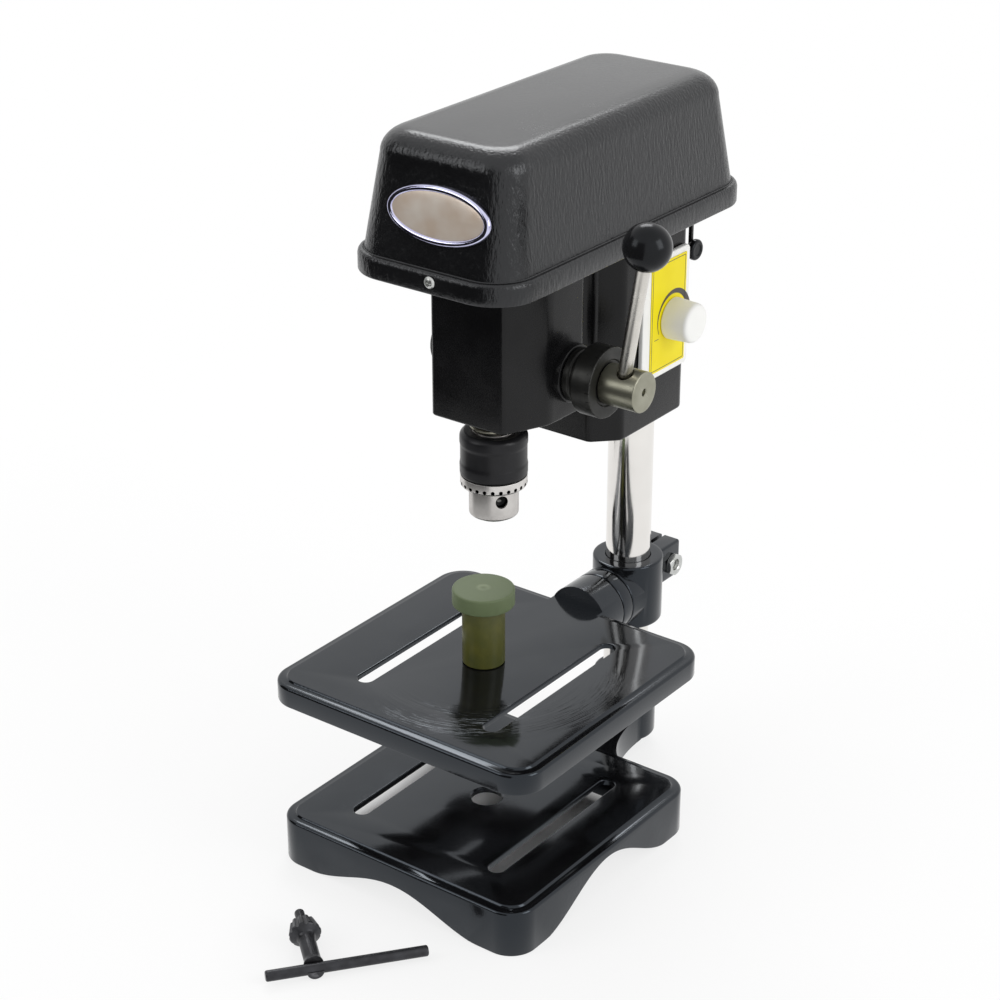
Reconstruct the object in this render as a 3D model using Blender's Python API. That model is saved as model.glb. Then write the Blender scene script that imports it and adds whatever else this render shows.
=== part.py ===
"""Lens drilling machine: a small bench drill with a tilting table, a rest post and a chuck key.

Metres, +Z up. The operator's side is -Y, the feed lever and the speed control are on +X.
Everything is drawn round the column, then moved so that the footprint is centred.
"""

import math

import bmesh
import bpy
from mathutils import Matrix

# Round shapes
FINE_STEPS = 40
ROUND_STEPS = 28
SMALL_STEPS = 14
NOTCH_STEPS = 6
CORNER_STEPS = 5
EDGE_SEGMENTS = 2
SHARP_ANGLE = math.radians(32)

# Clearances
GAP = 0.0003
SLIDE_FIT = 0.00025
OVERRUN = 0.002

# Column
COLUMN_RADIUS = 0.0127
COLUMN_WALL = 0.0028
COLUMN_FOOT = 0.0125
COLUMN_CHAMFER = 0.001

# Base casting
BASE_HALF_WIDTH = 0.0813
BASE_FRONT = -0.2152
BASE_REAR = -0.0535
BASE_HEIGHT = 0.0275
BASE_CORNER = 0.0155
BASE_WALL = 0.0065
BASE_PLATE = 0.0032
BASE_SLOT_X = 0.0455
BASE_SLOT_FRONT = -0.189
BASE_SLOT_REAR = -0.080
BASE_HOLE_RADIUS = 0.0085
BASE_HOLE_Y = -0.1334
ARCH_HEIGHT = 0.0190
ARCH_HALF_LENGTH = 0.059
ARCH_STEPS = 16

# Raised platform on the base and on the table
EDGE_ROUND = 0.0016
PLATFORM_STEP = 0.0012
PLATFORM_BORDER = 0.0046
PLATFORM_SLOPE = 0.0008
SLOT_WIDTH = 0.0092

# Column socket behind the base
SOCKET_RADIUS = 0.0181
SOCKET_BOTTOM = 0.0075
SOCKET_TOP = 0.048
SOCKET_EDGE = 0.0015
FLARE_HALF_WIDTH = 0.041
FLARE_NARROW = 0.0165
FLARE_END_Y = -0.006
FLARE_TOP = 0.0245
FLARE_STEPS = 6
SOCKET_SCREW_Z = 0.036

# Set screws
SET_SCREW_RADIUS = 0.003
SET_SCREW_SOCKET = 0.0015
SET_SCREW_SOCKET_DEPTH = 0.003
SET_SCREW_CHAMFER = 0.0005

# Table
TABLE_HALF_WIDTH = 0.0845
TABLE_FRONT = -0.2148
TABLE_REAR = -0.0489
TABLE_TOP = 0.110
TABLE_THICKNESS = 0.013
TABLE_CORNER = 0.0165
TABLE_WALL = 0.007
TABLE_PLATE = 0.0028
TABLE_SLOT_X = 0.0415
TABLE_SLOT_FRONT = -0.1876
TABLE_SLOT_REAR = -0.0763
TABLE_RIB_HALF = 0.007
TABLE_RIB_FRONT = -0.118
TABLE_RIB_DROP = 0.010

# Tilting joint between table and collar
TILT_Z = 0.1014
TILT_RADIUS = 0.0185
TILT_EDGE = 0.0008
BARREL_REAR = -0.0303
RING_REAR = -0.0213
STUD_RADIUS = 0.005
STUD_FRONT = -0.0440
STUD_REAR = -0.0152
LOCK_SCREW_Y = -0.0395

# Collar on the column
COLLAR_RADIUS = 0.020
COLLAR_BOTTOM = 0.083
COLLAR_TOP = 0.122
COLLAR_EDGE = 0.002
COLLAR_BOSS_FACE = -0.0210
LUG_HALF = 0.0112
LUG_REAR = 0.0372
LUG_BOTTOM = 0.0975
LUG_TOP = 0.1195
LUG_EDGE = 0.0012
SLIT_WIDTH = 0.0026
CLAMP_Y = 0.0292
CLAMP_Z = 0.1068
CLAMP_BOLT_RADIUS = 0.003
NUT_FLATS = 0.012
NUT_THICKNESS = 0.005
BOLT_HEAD_THICKNESS = 0.0045
BOLT_END = 0.0015

# Head casting
SPINDLE_Y = -0.1265
BLOCK_BOTTOM = 0.2218
HEAD_HEIGHT = 0.1139
HEAD_TOP = BLOCK_BOTTOM + HEAD_HEIGHT
COLUMN_COVER = 0.0087
COLUMN_TOP = HEAD_TOP - COLUMN_COVER
HOUSING_LIFT = 0.0312
HOUSING_BOTTOM = BLOCK_BOTTOM + HOUSING_LIFT
HOUSING_FRONT = -0.149
HOUSING_FACE_HALF = 0.0222
HOUSING_HALF = 0.0332
HOUSING_SHOULDER_Y = -0.1240
HOUSING_BULGE_HALF = 0.0340
HOUSING_BULGE_Y = -0.0990
WEB_HALF = 0.0185
WEB_START_Y = -0.0810
WEB_STEPS = 8
BLOCK_FRONT = -0.0725
BLOCK_FACE_HALF = 0.021
BLOCK_HALF = 0.0337
BLOCK_SHOULDER_Y = -0.0597
BLOCK_WAIST_Y = -0.0040
BLOCK_REAR = 0.020
BLOCK_REAR_HALF = 0.0175
CAST_EDGE = 0.0012
HEAD_SCREW_LOW_Z = 0.246
HEAD_SCREW_HIGH_Z = 0.300

# Control pocket and plate
POCKET_FRONT = -0.0435
POCKET_REAR = -0.0085
POCKET_BOTTOM = 0.2555
POCKET_TOP = 0.3045
POCKET_FLOOR = 0.0185
PLATE_FRONT = -0.047
PLATE_REAR = -0.0040
PLATE_BOTTOM = 0.2497
PLATE_TOP = 0.3165
PLATE_THICKNESS = 0.0028
PLATE_CORNER = 0.0025
LABEL_FRONT = -0.0405
LABEL_REAR = -0.0078
LABEL_BOTTOM = 0.2532
LABEL_TOP = 0.3132
LABEL_THICKNESS = 0.0004
LABEL_GAP = 0.0001
DIAL_Y = -0.0204
DIAL_Z = 0.2798
DIAL_HOLE_RADIUS = 0.0036
POT_RADIUS = 0.008
POT_DEPTH = 0.0085
POT_SHAFT_RADIUS = 0.003
BOARD_THICKNESS = 0.0016
BOARD_MARGIN = 0.002
KNOB_RADIUS = 0.0115
KNOB_END_RADIUS = 0.0104
KNOB_SKIRT = 0.0035
KNOB_LENGTH = 0.0152
KNOB_EDGE = 0.0012

# Feed shaft
FEED_Y = -0.107
FEED_LIFT = 0.0547
FEED_Z = BLOCK_BOTTOM + FEED_LIFT
FEED_SHAFT_RADIUS = 0.006
FEED_BORE_RADIUS = 0.011
FEED_BOSS_RADIUS = 0.0152
FEED_BOSS_FACE = 0.0372
PINION_TEETH = 19
ROOT_SHARE = 0.25
TIP_SHARE = 0.09
MODULE = 0.001
ROOT_DEPTH_SHARE = 1.25
RACK_DEPTH_SHARE = 2.25
PINION_HALF = 0.009
BUSH_IN = 0.022
BUSH_FLANGE_RADIUS = 0.0139
BUSH_FLANGE_END = 0.0454
LEFT_BUSH_END = 0.0385
RING_RADIUS = 0.0183
RING_START = 0.0457
RING_END = 0.0573
RING_EDGE = 0.0008
RING_RECESS_RADIUS = 0.0120
RING_RECESS_DEPTH = 0.0010
HUB_SLEEVE_START = 0.0460
HUB_SLEEVE_RADIUS = 0.0083
HUB_START = 0.0568
HUB_END = 0.0778
HUB_RADIUS = 0.0105
HUB_EDGE = 0.0006
HUB_CENTRE_HOLE = 0.0014
HUB_CENTRE_DEPTH = 0.003
HUB_BORE_END = 0.0620
LEVER_X = 0.0648
LEVER_FORWARD = math.radians(22.0)
LEVER_OUTWARD = math.radians(20.4)
LEVER_LENGTH = 0.1040
LEVER_START = 0.0045
LEVER_ROOT_RADIUS = 0.0036
LEVER_TIP_RADIUS = 0.0034
LEVER_IN_BALL = 0.008
BALL_RADIUS = 0.0117
BALL_RINGS = 12

# Return spring
CUP_RADIUS = 0.0148
CUP_START = 0.0388
CUP_END = 0.0450
CUP_WALL = 0.0016
SPRING_INNER = 0.0066
SPRING_OUTER = 0.0120
SPRING_TURNS = 3.25
SPRING_THICKNESS = 0.0009
SPRING_WIDTH = 0.0038
SPRING_START = 0.0392
SPRING_POINTS = 56

# Quill, spindle and bearings
QUILL_RADIUS = 0.011
QUILL_BOTTOM = 0.2505
QUILL_COVER = 0.0102
QUILL_TOP = HEAD_TOP - QUILL_COVER
QUILL_BORE = 0.0078
BEARING_OUTER = 0.0092
BEARING_INNER = 0.005
BEARING_WIDTH = 0.005
BEARING_EDGE = 0.0004
RACK_TEETH = 13
RACK_TEETH_BELOW = 3
RACK_MOUTH_SHARE = 0.41
RACK_FLOOR_SHARE = 0.16
RACK_HALF_WIDTH = 0.0075
NOSE_NUT_RADIUS = 0.0107
NOSE_NUT_BOTTOM = 0.2452
NOSE_NUT_GROOVE = 0.0007
SPINDLE_RADIUS = 0.0048
SPINDLE_COLLAR_RADIUS = 0.0064
SPINDLE_COLLAR_BOTTOM = 0.2446
TAPER_TOP_RADIUS = 0.0056
TAPER_END_RADIUS = 0.0049
TAPER_END = 0.229

# Chuck
CHUCK_BOTTOM = 0.1953
CHUCK_NOSE_RADIUS = 0.0084
CHUCK_NOSE_TOP = 0.2018
CHUCK_BODY_RADIUS = 0.0129
CHUCK_BODY_STEP = 0.2136
CHUCK_CORE_RADIUS = 0.0112
CHUCK_TOP = 0.2440
CHUCK_BORE_RADIUS = 0.0050
CHUCK_BORE_TOP = 0.2240
CHUCK_EDGE = 0.0005
KEY_BORE_RADIUS = 0.0031
KEY_BORE_Z = 0.2078
KEY_BORE_DEPTH = 0.0044
KEY_BORE_ANGLE = math.radians(-34.2)
SLEEVE_BOTTOM = 0.2134
SLEEVE_TEETH_TOP = 0.2192
SLEEVE_TOP = 0.2436
SLEEVE_RADIUS = 0.0176
SLEEVE_WAIST_RADIUS = 0.0171
SLEEVE_RING_RADIUS = 0.0172
SLEEVE_BAND_BOTTOM = 0.2262
SLEEVE_BAND_TOP = 0.2366
SLEEVE_SHOULDER = 0.0035
SLEEVE_TOP_RADIUS = 0.0140
SLEEVE_CAVITY_RADIUS = 0.0148
SLEEVE_CAVITY_BOTTOM = 0.2165
SLEEVE_CAVITY_TOP = 0.2385
SLEEVE_TEETH = 26
TOOTH_NOTCH_RADIUS = 0.00095
TOOTH_NOTCH_HEIGHT = 0.0028
TOOTH_NOTCH_DEPTH = 0.0028
JAW_RADIUS = 0.0021
JAW_HOLE_RADIUS = 0.0024
JAW_ANGLE = math.radians(15)
JAW_NOSE_OFFSET = 0.0046
JAW_TIP_RISE = 0.0012
JAW_LENGTH = 0.0265
JAW_TRAVEL = 0.006
JAW_TIP_RADIUS = 0.0012
JAW_TIP_LENGTH = 0.0035

# Hood
HOOD_SKIRT = 0.0014
HOOD_BOTTOM = HEAD_TOP - HOOD_SKIRT
HOOD_HALF_WIDTH = 0.0511
HOOD_FRONT = -0.1843
HOOD_REAR = 0.0338
HOOD_CORNER = 0.0235
HOOD_RIM_HEIGHT = 0.0115
HOOD_RIM_TOP = HOOD_BOTTOM + HOOD_RIM_HEIGHT
HOOD_BODY_HEIGHT = 0.0588
HOOD_TOP = HOOD_RIM_TOP + HOOD_BODY_HEIGHT
HOOD_WALL = 0.003
HOOD_RIM_SHELF = 0.0034
HOOD_RIM_ROUND = 0.0024
HOOD_TAPER_SIDE = 0.0065
HOOD_TAPER_FRONT = 0.0115
HOOD_TAPER_REAR = 0.0115
HOOD_TOP_ROUND = 0.0125
HOOD_CORNER_TOP = 0.0165
HOOD_ROUND_STEPS = 4
HOOD_SCREW_X = 0.0060
HOOD_SCREW_LIFT = 0.0065
HOOD_SCREW_Z = HOOD_BOTTOM + HOOD_SCREW_LIFT
HOOD_SCREW_RADIUS = 0.002
HOOD_SCREW_HEAD = 0.0031
HOOD_SCREW_HEAD_THICKNESS = 0.0016
HOOD_SCREW_LENGTH = 0.011
CROSS_WIDTH = 0.0009
CROSS_LENGTH = 0.0034
CROSS_DEPTH = 0.0009

# Badge
BADGE_X = 0.0056
BADGE_LIFT = 0.0257
BADGE_Z = HOOD_RIM_TOP + BADGE_LIFT
BADGE_HALF_WIDTH = 0.0305
BADGE_HALF_HEIGHT = 0.0140
BADGE_THICKNESS = 0.0022
BADGE_RIM = 0.0028
BADGE_DOME = 0.0009

# Deck tray under the hood
DECK_BOTTOM = HEAD_TOP + GAP
DECK_FLOOR = 0.0025
DECK_WALL = 0.002
DECK_SIDE_GAP = 0.0004
DECK_HEIGHT = 0.0064
DECK_TOP = DECK_BOTTOM + DECK_HEIGHT
DECK_SPINDLE_HOLE = 0.0145
DECK_TAB_NOTCH = 0.0085

# Drive
PULLEY_BEARING_OUTER = 0.0135
PULLEY_BEARING_INNER = 0.0082
PULLEY_BEARING_DEPTH = 0.0067
PULLEY_BEARING_BOTTOM = HEAD_TOP - PULLEY_BEARING_DEPTH
PULLEY_HUB_DROP = 0.0012
PULLEY_HUB_BOTTOM = PULLEY_BEARING_BOTTOM - PULLEY_HUB_DROP
PULLEY_HUB_RADIUS = 0.0079
PULLEY_BORE = 0.0051
PULLEY_RADIUS = 0.016
PULLEY_HEADROOM = 0.0046
PULLEY_TOP = HOOD_TOP - HOOD_WALL - PULLEY_HEADROOM
PULLEY_WIDTH = 0.0125
PULLEY_BOTTOM = PULLEY_TOP - PULLEY_WIDTH
SPINDLE_PROUD = 0.002
SPINDLE_TOP = PULLEY_TOP + SPINDLE_PROUD
PULLEY_GROOVE = 0.0128
PULLEY_RIM = 0.0012
MOTOR_Y = -0.010
MOTOR_RADIUS = 0.0255
MOTOR_PLATE_THICKNESS = 0.0028
MOTOR_BOTTOM = DECK_BOTTOM + DECK_FLOOR + MOTOR_PLATE_THICKNESS + 3 * GAP
MOTOR_BOSS_GAP = 0.0025
MOTOR_BOSS_TOP = PULLEY_BOTTOM - MOTOR_BOSS_GAP
MOTOR_BOSS_HEIGHT = 0.003
MOTOR_TOP = MOTOR_BOSS_TOP - MOTOR_BOSS_HEIGHT
MOTOR_EDGE = 0.0015
MOTOR_BOSS_RADIUS = 0.007
MOTOR_BORE = 0.0034
MOTOR_SHAFT_RADIUS = 0.0030
MOTOR_SHAFT_PROUD = 0.0005
MOTOR_SHAFT_TOP = PULLEY_TOP + MOTOR_SHAFT_PROUD
MOTOR_ROTOR_RADIUS = 0.017
MOTOR_ROTOR_LIFT = 0.0053
MOTOR_ROTOR_BOTTOM = MOTOR_BOTTOM + MOTOR_ROTOR_LIFT
MOTOR_ROTOR_DROP = 0.0055
MOTOR_ROTOR_TOP = MOTOR_TOP - MOTOR_ROTOR_DROP
MOTOR_WALL = 0.0022
MOTOR_PULLEY_RADIUS = 0.0090
MOTOR_PULLEY_GROOVE = 0.0058
MOTOR_PLATE_HALF = 0.030
BELT_THICKNESS = 0.0024
BELT_WIDTH = 0.005
BELT_LIFT = 0.0037
BELT_BOTTOM = PULLEY_BOTTOM + BELT_LIFT
BELT_STEPS = 12

# Tension knob behind the block
TAB_X = 0.0190
TAB_WIDTH = 0.0020
TAB_Y = 0.0245
TAB_THICKNESS = 0.0018
TAB_BOTTOM = 0.2965
TENSION_Z = 0.3015
TENSION_KNOB_RADIUS = 0.0058
TENSION_KNOB_LENGTH = 0.0035
TENSION_KNOB_EDGE = 0.0008
TENSION_KNOB_BORE = 0.0022
TENSION_STUD_RADIUS = 0.0008

# Rest post
POST_X = -0.0035
POST_Y = -0.131
POST_STEM_RADIUS = 0.0114
POST_STEM_TOP = 0.1442
POST_HEAD_RADIUS = 0.0166
POST_HEAD_TOP = 0.1535
POST_EDGE = 0.0007
POST_SPIGOT_RADIUS = 0.004
POST_SPIGOT_DEPTH = 0.005

# Chuck key
KEY_CROSS_X = 0.0062
KEY_CROSS_Y = -0.2843
KEY_HEADING = math.radians(51.9)
KEY_BAR_RADIUS = 0.0029
KEY_BAR_LENGTH = 0.0835
KEY_BAR_SHIFT = 0.0166
KEY_SHANK_RADIUS = 0.0044
KEY_SHANK_BACK = 0.0046
KEY_GEAR_START = 0.0255
KEY_GEAR_BACK_RADIUS = 0.0085
KEY_GEAR_FRONT_RADIUS = 0.0066
KEY_GEAR_END = 0.0335
KEY_GEAR_TEETH = 11
KEY_NOTCH_RADIUS = 0.0012
KEY_PILOT_RADIUS = 0.0026
KEY_PILOT_END = 0.0425
KEY_EDGE = 0.0005
FLOOR_GAP = 0.00005

# The finished object stands with the middle of its footprint on the origin
ORIGIN_SHIFT_X = -0.01415
ORIGIN_SHIFT_Y = 0.1342


def material(name, colour, roughness, metallic):
    """Return a plain Principled material."""
    result = bpy.data.materials.new(name)
    result.use_nodes = True
    shader = result.node_tree.nodes["Principled BSDF"]
    shader.inputs["Base Color"].default_value = (*colour, 1.0)
    shader.inputs["Roughness"].default_value = roughness
    shader.inputs["Metallic"].default_value = metallic
    return result


def finish_mesh(bm, name, smooth=True):
    """Turn a bmesh into a linked object."""
    bmesh.ops.recalc_face_normals(bm, faces=bm.faces)
    mesh = bpy.data.meshes.new(name)
    bm.to_mesh(mesh)
    bm.free()
    if smooth:
        mesh.shade_smooth()
        mesh.set_sharp_from_angle(angle=SHARP_ANGLE)
    result = bpy.data.objects.new(name, mesh)
    bpy.context.scene.collection.objects.link(result)
    return result


def loft(name, loops, closed=False):
    """Join loops of equal length with quads and cap both ends, or join the last to the first."""
    bm = bmesh.new()
    rings = [[bm.verts.new(point) for point in loop] for loop in loops]
    pairs = list(zip(rings, rings[1:]))
    if closed:
        pairs.append((rings[-1], rings[0]))
    for lower, upper in pairs:
        count = len(lower)
        for i in range(count):
            j = (i + 1) % count
            bm.faces.new((lower[i], lower[j], upper[j], upper[i]))
    if not closed:
        bm.faces.new(list(reversed(rings[0])))
        bm.faces.new(rings[-1])
    return finish_mesh(bm, name)


def circle(radius, z, steps=ROUND_STEPS):
    """Return a loop round the Z axis."""
    turn = 2 * math.pi / steps
    return [(radius * math.cos(i * turn), radius * math.sin(i * turn), z) for i in range(steps)]


def turned(name, profile, steps=ROUND_STEPS):
    """Revolve (radius, z) points that start and end off the axis, with flat ends."""
    return loft(name, [circle(radius, z, steps) for radius, z in profile])


def tube(name, profile, steps=ROUND_STEPS):
    """Revolve a closed (radius, z) outline."""
    return loft(name, [circle(radius, z, steps) for radius, z in profile], closed=True)


def prism(name, outline, low, high, edge=0.0, upright_edges=False):
    """Extrude an XY outline between two heights, with rounded edges if asked."""
    bm = bmesh.new()
    face = bm.faces.new([bm.verts.new((x, y, low)) for x, y in outline])
    grown = bmesh.ops.extrude_face_region(bm, geom=[face])
    moved = [item for item in grown["geom"] if isinstance(item, bmesh.types.BMVert)]
    bmesh.ops.translate(bm, verts=moved, vec=(0, 0, high - low))
    if edge > 0:
        picked = []
        for item in bm.edges:
            upright = abs(item.verts[0].co.z - item.verts[1].co.z) > GAP
            if not upright or (upright_edges and item.calc_face_angle(0) > SHARP_ANGLE):
                picked.append(item)
        bmesh.ops.bevel(bm, geom=picked, offset=edge, segments=EDGE_SEGMENTS, profile=0.5, affect="EDGES",
                        clamp_overlap=True)
    return finish_mesh(bm, name)


def block(name, x_span, y_span, z_span, edge=0.0):
    """Make a box from three spans."""
    outline = [(x_span[0], y_span[0]), (x_span[1], y_span[0]),
               (x_span[1], y_span[1]), (x_span[0], y_span[1])]
    return prism(name, outline, z_span[0], z_span[1], edge, upright_edges=edge > 0)


def rounded_outline(half, front, rear, corner, steps=CORNER_STEPS):
    """Return the XY points of a rounded rectangle, symmetric about X = 0."""
    points = []
    centres = [(half - corner, front + corner, -90), (half - corner, rear - corner, 0),
               (corner - half, rear - corner, 90), (corner - half, front + corner, 180)]
    for x, y, start in centres:
        for i in range(steps + 1):
            angle = math.radians(start + 90 * i / steps)
            points.append((x + corner * math.cos(angle), y + corner * math.sin(angle)))
    return points


def at_height(outline, z):
    """Lift XY points to a height."""
    return [(x, y, z) for x, y in outline]


def slot_outline(x, front, rear, width, steps=CORNER_STEPS):
    """Return a slot along Y with round ends."""
    half = width / 2
    points = []
    for y, start in ((rear - half, 0), (front + half, 180)):
        for i in range(steps + 1):
            angle = math.radians(start + 180 * i / steps)
            points.append((x + half * math.cos(angle), y + half * math.sin(angle)))
    return points


def stand(item, location=(0, 0, 0), turn=None):
    """Put a turned part in place by moving its mesh, so that its origin stays free."""
    matrix = Matrix.Translation(location)
    if turn is not None:
        matrix = matrix @ turn
    item.data.transform(matrix)
    return item


def along_x():
    """Rotation that lays the Z axis along +X."""
    return Matrix.Rotation(math.pi / 2, 4, "Y")


def along_y():
    """Rotation that lays the Z axis along +Y."""
    return Matrix.Rotation(-math.pi / 2, 4, "X")


def boolean(item, other, operation):
    """Cut or join with another object, which stays in the file as a wire."""
    other.hide_render = True
    other.display_type = "WIRE"
    other.hide_set(True)
    step = item.modifiers.new(operation.title(), "BOOLEAN")
    step.operation = operation
    step.object = other
    step.solver = "EXACT"


def cut(item, cutters):
    """Subtract every cutter."""
    for cutter in cutters:
        boolean(item, cutter, "DIFFERENCE")


def join(item, others):
    """Add every shape to the body."""
    for other in others:
        boolean(item, other, "UNION")


def rod(name, radius, start, end, axis="Z", steps=SMALL_STEPS, edge=0.0):
    """Make a round bar between two positions on one axis."""
    low, high = min(start, end), max(start, end)
    profile = [(radius, low), (radius, high)]
    if edge > 0:
        profile = [(radius - edge, low), (radius, low + edge), (radius, high - edge),
                   (radius - edge, high)]
    item = turned(name, profile, steps)
    if axis == "X":
        item.data.transform(along_x())
    if axis == "Y":
        item.data.transform(along_y())
    return item


def plate_casting(name, half, front, rear, corner, bottom, top):
    """Return a cast plate with rounded edge and a raised platform on top."""
    def ring(inset, z):
        return at_height(rounded_outline(half - inset, front + inset, rear - inset,
                                         corner - min(inset, corner / 2)), z)

    border = top - PLATFORM_STEP
    loops = [ring(EDGE_ROUND / 2, bottom), ring(0, bottom + EDGE_ROUND / 2)]
    for i in range(EDGE_SEGMENTS + 1):
        angle = math.pi / 2 * i / EDGE_SEGMENTS
        loops.append(ring(EDGE_ROUND * (1 - math.cos(angle)),
                          border - EDGE_ROUND + EDGE_ROUND * math.sin(angle)))
    loops.append(ring(PLATFORM_BORDER, border))
    loops.append(ring(PLATFORM_BORDER + PLATFORM_SLOPE, top))
    return loft(name, loops)


def arch_outline(centre, low):
    """Return the points of a foot arch, along one direction and height."""
    points = [(centre + ARCH_HALF_LENGTH, low), (centre - ARCH_HALF_LENGTH, low)]
    curve = []
    for i in range(ARCH_STEPS + 1):
        share = -1 + 2 * i / ARCH_STEPS
        curve.append((centre + share * ARCH_HALF_LENGTH,
                      ARCH_HEIGHT * (1 + math.cos(math.pi * share)) / 2))
    return points + curve[1:-1]


def base_casting(paint):
    """Base plate on four arched feet, with the column socket behind it."""
    centre_y = (BASE_FRONT + BASE_REAR) / 2
    body = plate_casting("base_casting", BASE_HALF_WIDTH, BASE_FRONT, BASE_REAR, BASE_CORNER,
                         0.0, BASE_HEIGHT)
    inner = rounded_outline(BASE_HALF_WIDTH - BASE_WALL, BASE_FRONT + BASE_WALL,
                            BASE_REAR - BASE_WALL, BASE_CORNER - BASE_WALL)
    hollow = prism("base_hollow", inner, -OVERRUN, BASE_HEIGHT - BASE_PLATE)
    side_arch = prism("base_side_arch", arch_outline(centre_y, -OVERRUN),
                      -BASE_HALF_WIDTH - OVERRUN, BASE_HALF_WIDTH + OVERRUN)
    side_arch.data.transform(Matrix(((0, 0, 1, 0), (1, 0, 0, 0), (0, 1, 0, 0), (0, 0, 0, 1))))
    front_arch = prism("base_front_arch", arch_outline(0.0, -OVERRUN),
                       BASE_FRONT - OVERRUN, centre_y)
    front_arch.data.transform(Matrix(((1, 0, 0, 0), (0, 0, 1, 0), (0, 1, 0, 0), (0, 0, 0, 1))))
    front_arch.data.flip_normals()
    slots = [prism("base_slot_cut", slot_outline(side * BASE_SLOT_X, BASE_SLOT_FRONT,
                                                 BASE_SLOT_REAR, SLOT_WIDTH),
                   -OVERRUN, BASE_HEIGHT + OVERRUN) for side in (-1, 1)]
    hole = stand(rod("base_hole_cut", BASE_HOLE_RADIUS, -OVERRUN, BASE_HEIGHT + OVERRUN),
                 (0, BASE_HOLE_Y, 0))
    flare = []
    for i in range(FLARE_STEPS + 1):
        angle = math.pi / 2 * i / FLARE_STEPS
        x = FLARE_HALF_WIDTH - (FLARE_HALF_WIDTH - FLARE_NARROW) * math.sin(angle)
        y = FLARE_END_Y + (BASE_REAR - BASE_WALL / 2 - FLARE_END_Y) * math.cos(angle)
        flare.append((x, y))
    outline = flare + [(-x, y) for x, y in reversed(flare)]
    neck = prism("base_neck", outline, SOCKET_BOTTOM, FLARE_TOP)
    socket = turned("base_socket", [
        (SOCKET_RADIUS - SOCKET_EDGE, SOCKET_BOTTOM), (SOCKET_RADIUS, SOCKET_BOTTOM + SOCKET_EDGE),
        (SOCKET_RADIUS, SOCKET_TOP - SOCKET_EDGE), (SOCKET_RADIUS - SOCKET_EDGE, SOCKET_TOP)])
    bore = rod("base_bore_cut", COLUMN_RADIUS + GAP, COLUMN_FOOT - GAP, SOCKET_TOP + OVERRUN,
               steps=ROUND_STEPS)
    screw_hole = stand(rod("base_screw_cut", SET_SCREW_RADIUS + GAP, COLUMN_RADIUS / 2,
                           SOCKET_RADIUS + OVERRUN, "Y"), (0, 0, SOCKET_SCREW_Z))
    cut(body, [hollow, side_arch, front_arch])
    join(body, [neck, socket])
    cut(body, [bore, screw_hole, hole] + slots)
    body.data.materials.append(paint)
    return body


def column(chrome):
    """Bright steel tube that carries head and table."""
    inner = COLUMN_RADIUS - COLUMN_WALL
    item = tube("column", [
        (inner, COLUMN_FOOT), (COLUMN_RADIUS - COLUMN_CHAMFER, COLUMN_FOOT),
        (COLUMN_RADIUS, COLUMN_FOOT + COLUMN_CHAMFER), (COLUMN_RADIUS, COLUMN_TOP - COLUMN_CHAMFER),
        (COLUMN_RADIUS - COLUMN_CHAMFER, COLUMN_TOP), (inner, COLUMN_TOP)], FINE_STEPS)
    item.data.materials.append(chrome)
    return item


def hex_outline(flats):
    """Return a hexagon by its width across flats."""
    radius = flats / math.sqrt(3)
    return [(radius * math.cos(math.pi / 3 * i), radius * math.sin(math.pi / 3 * i))
            for i in range(6)]


def set_screw(name, steel, inner_end, outer_end, direction, place):
    """Headless screw with a hexagon socket in its outer end, along the given rotation."""
    item = turned(name, [
        (SET_SCREW_RADIUS - SET_SCREW_CHAMFER, inner_end),
        (SET_SCREW_RADIUS, inner_end + SET_SCREW_CHAMFER),
        (SET_SCREW_RADIUS, outer_end - SET_SCREW_CHAMFER),
        (SET_SCREW_RADIUS - SET_SCREW_CHAMFER, outer_end)], SMALL_STEPS)
    socket = prism(name + "_socket", hex_outline(2 * SET_SCREW_SOCKET),
                   outer_end - SET_SCREW_SOCKET_DEPTH, outer_end + OVERRUN)
    for part in (item, socket):
        stand(part, place, direction)
    cut(item, [socket])
    item.data.materials.append(steel)
    return item


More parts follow.
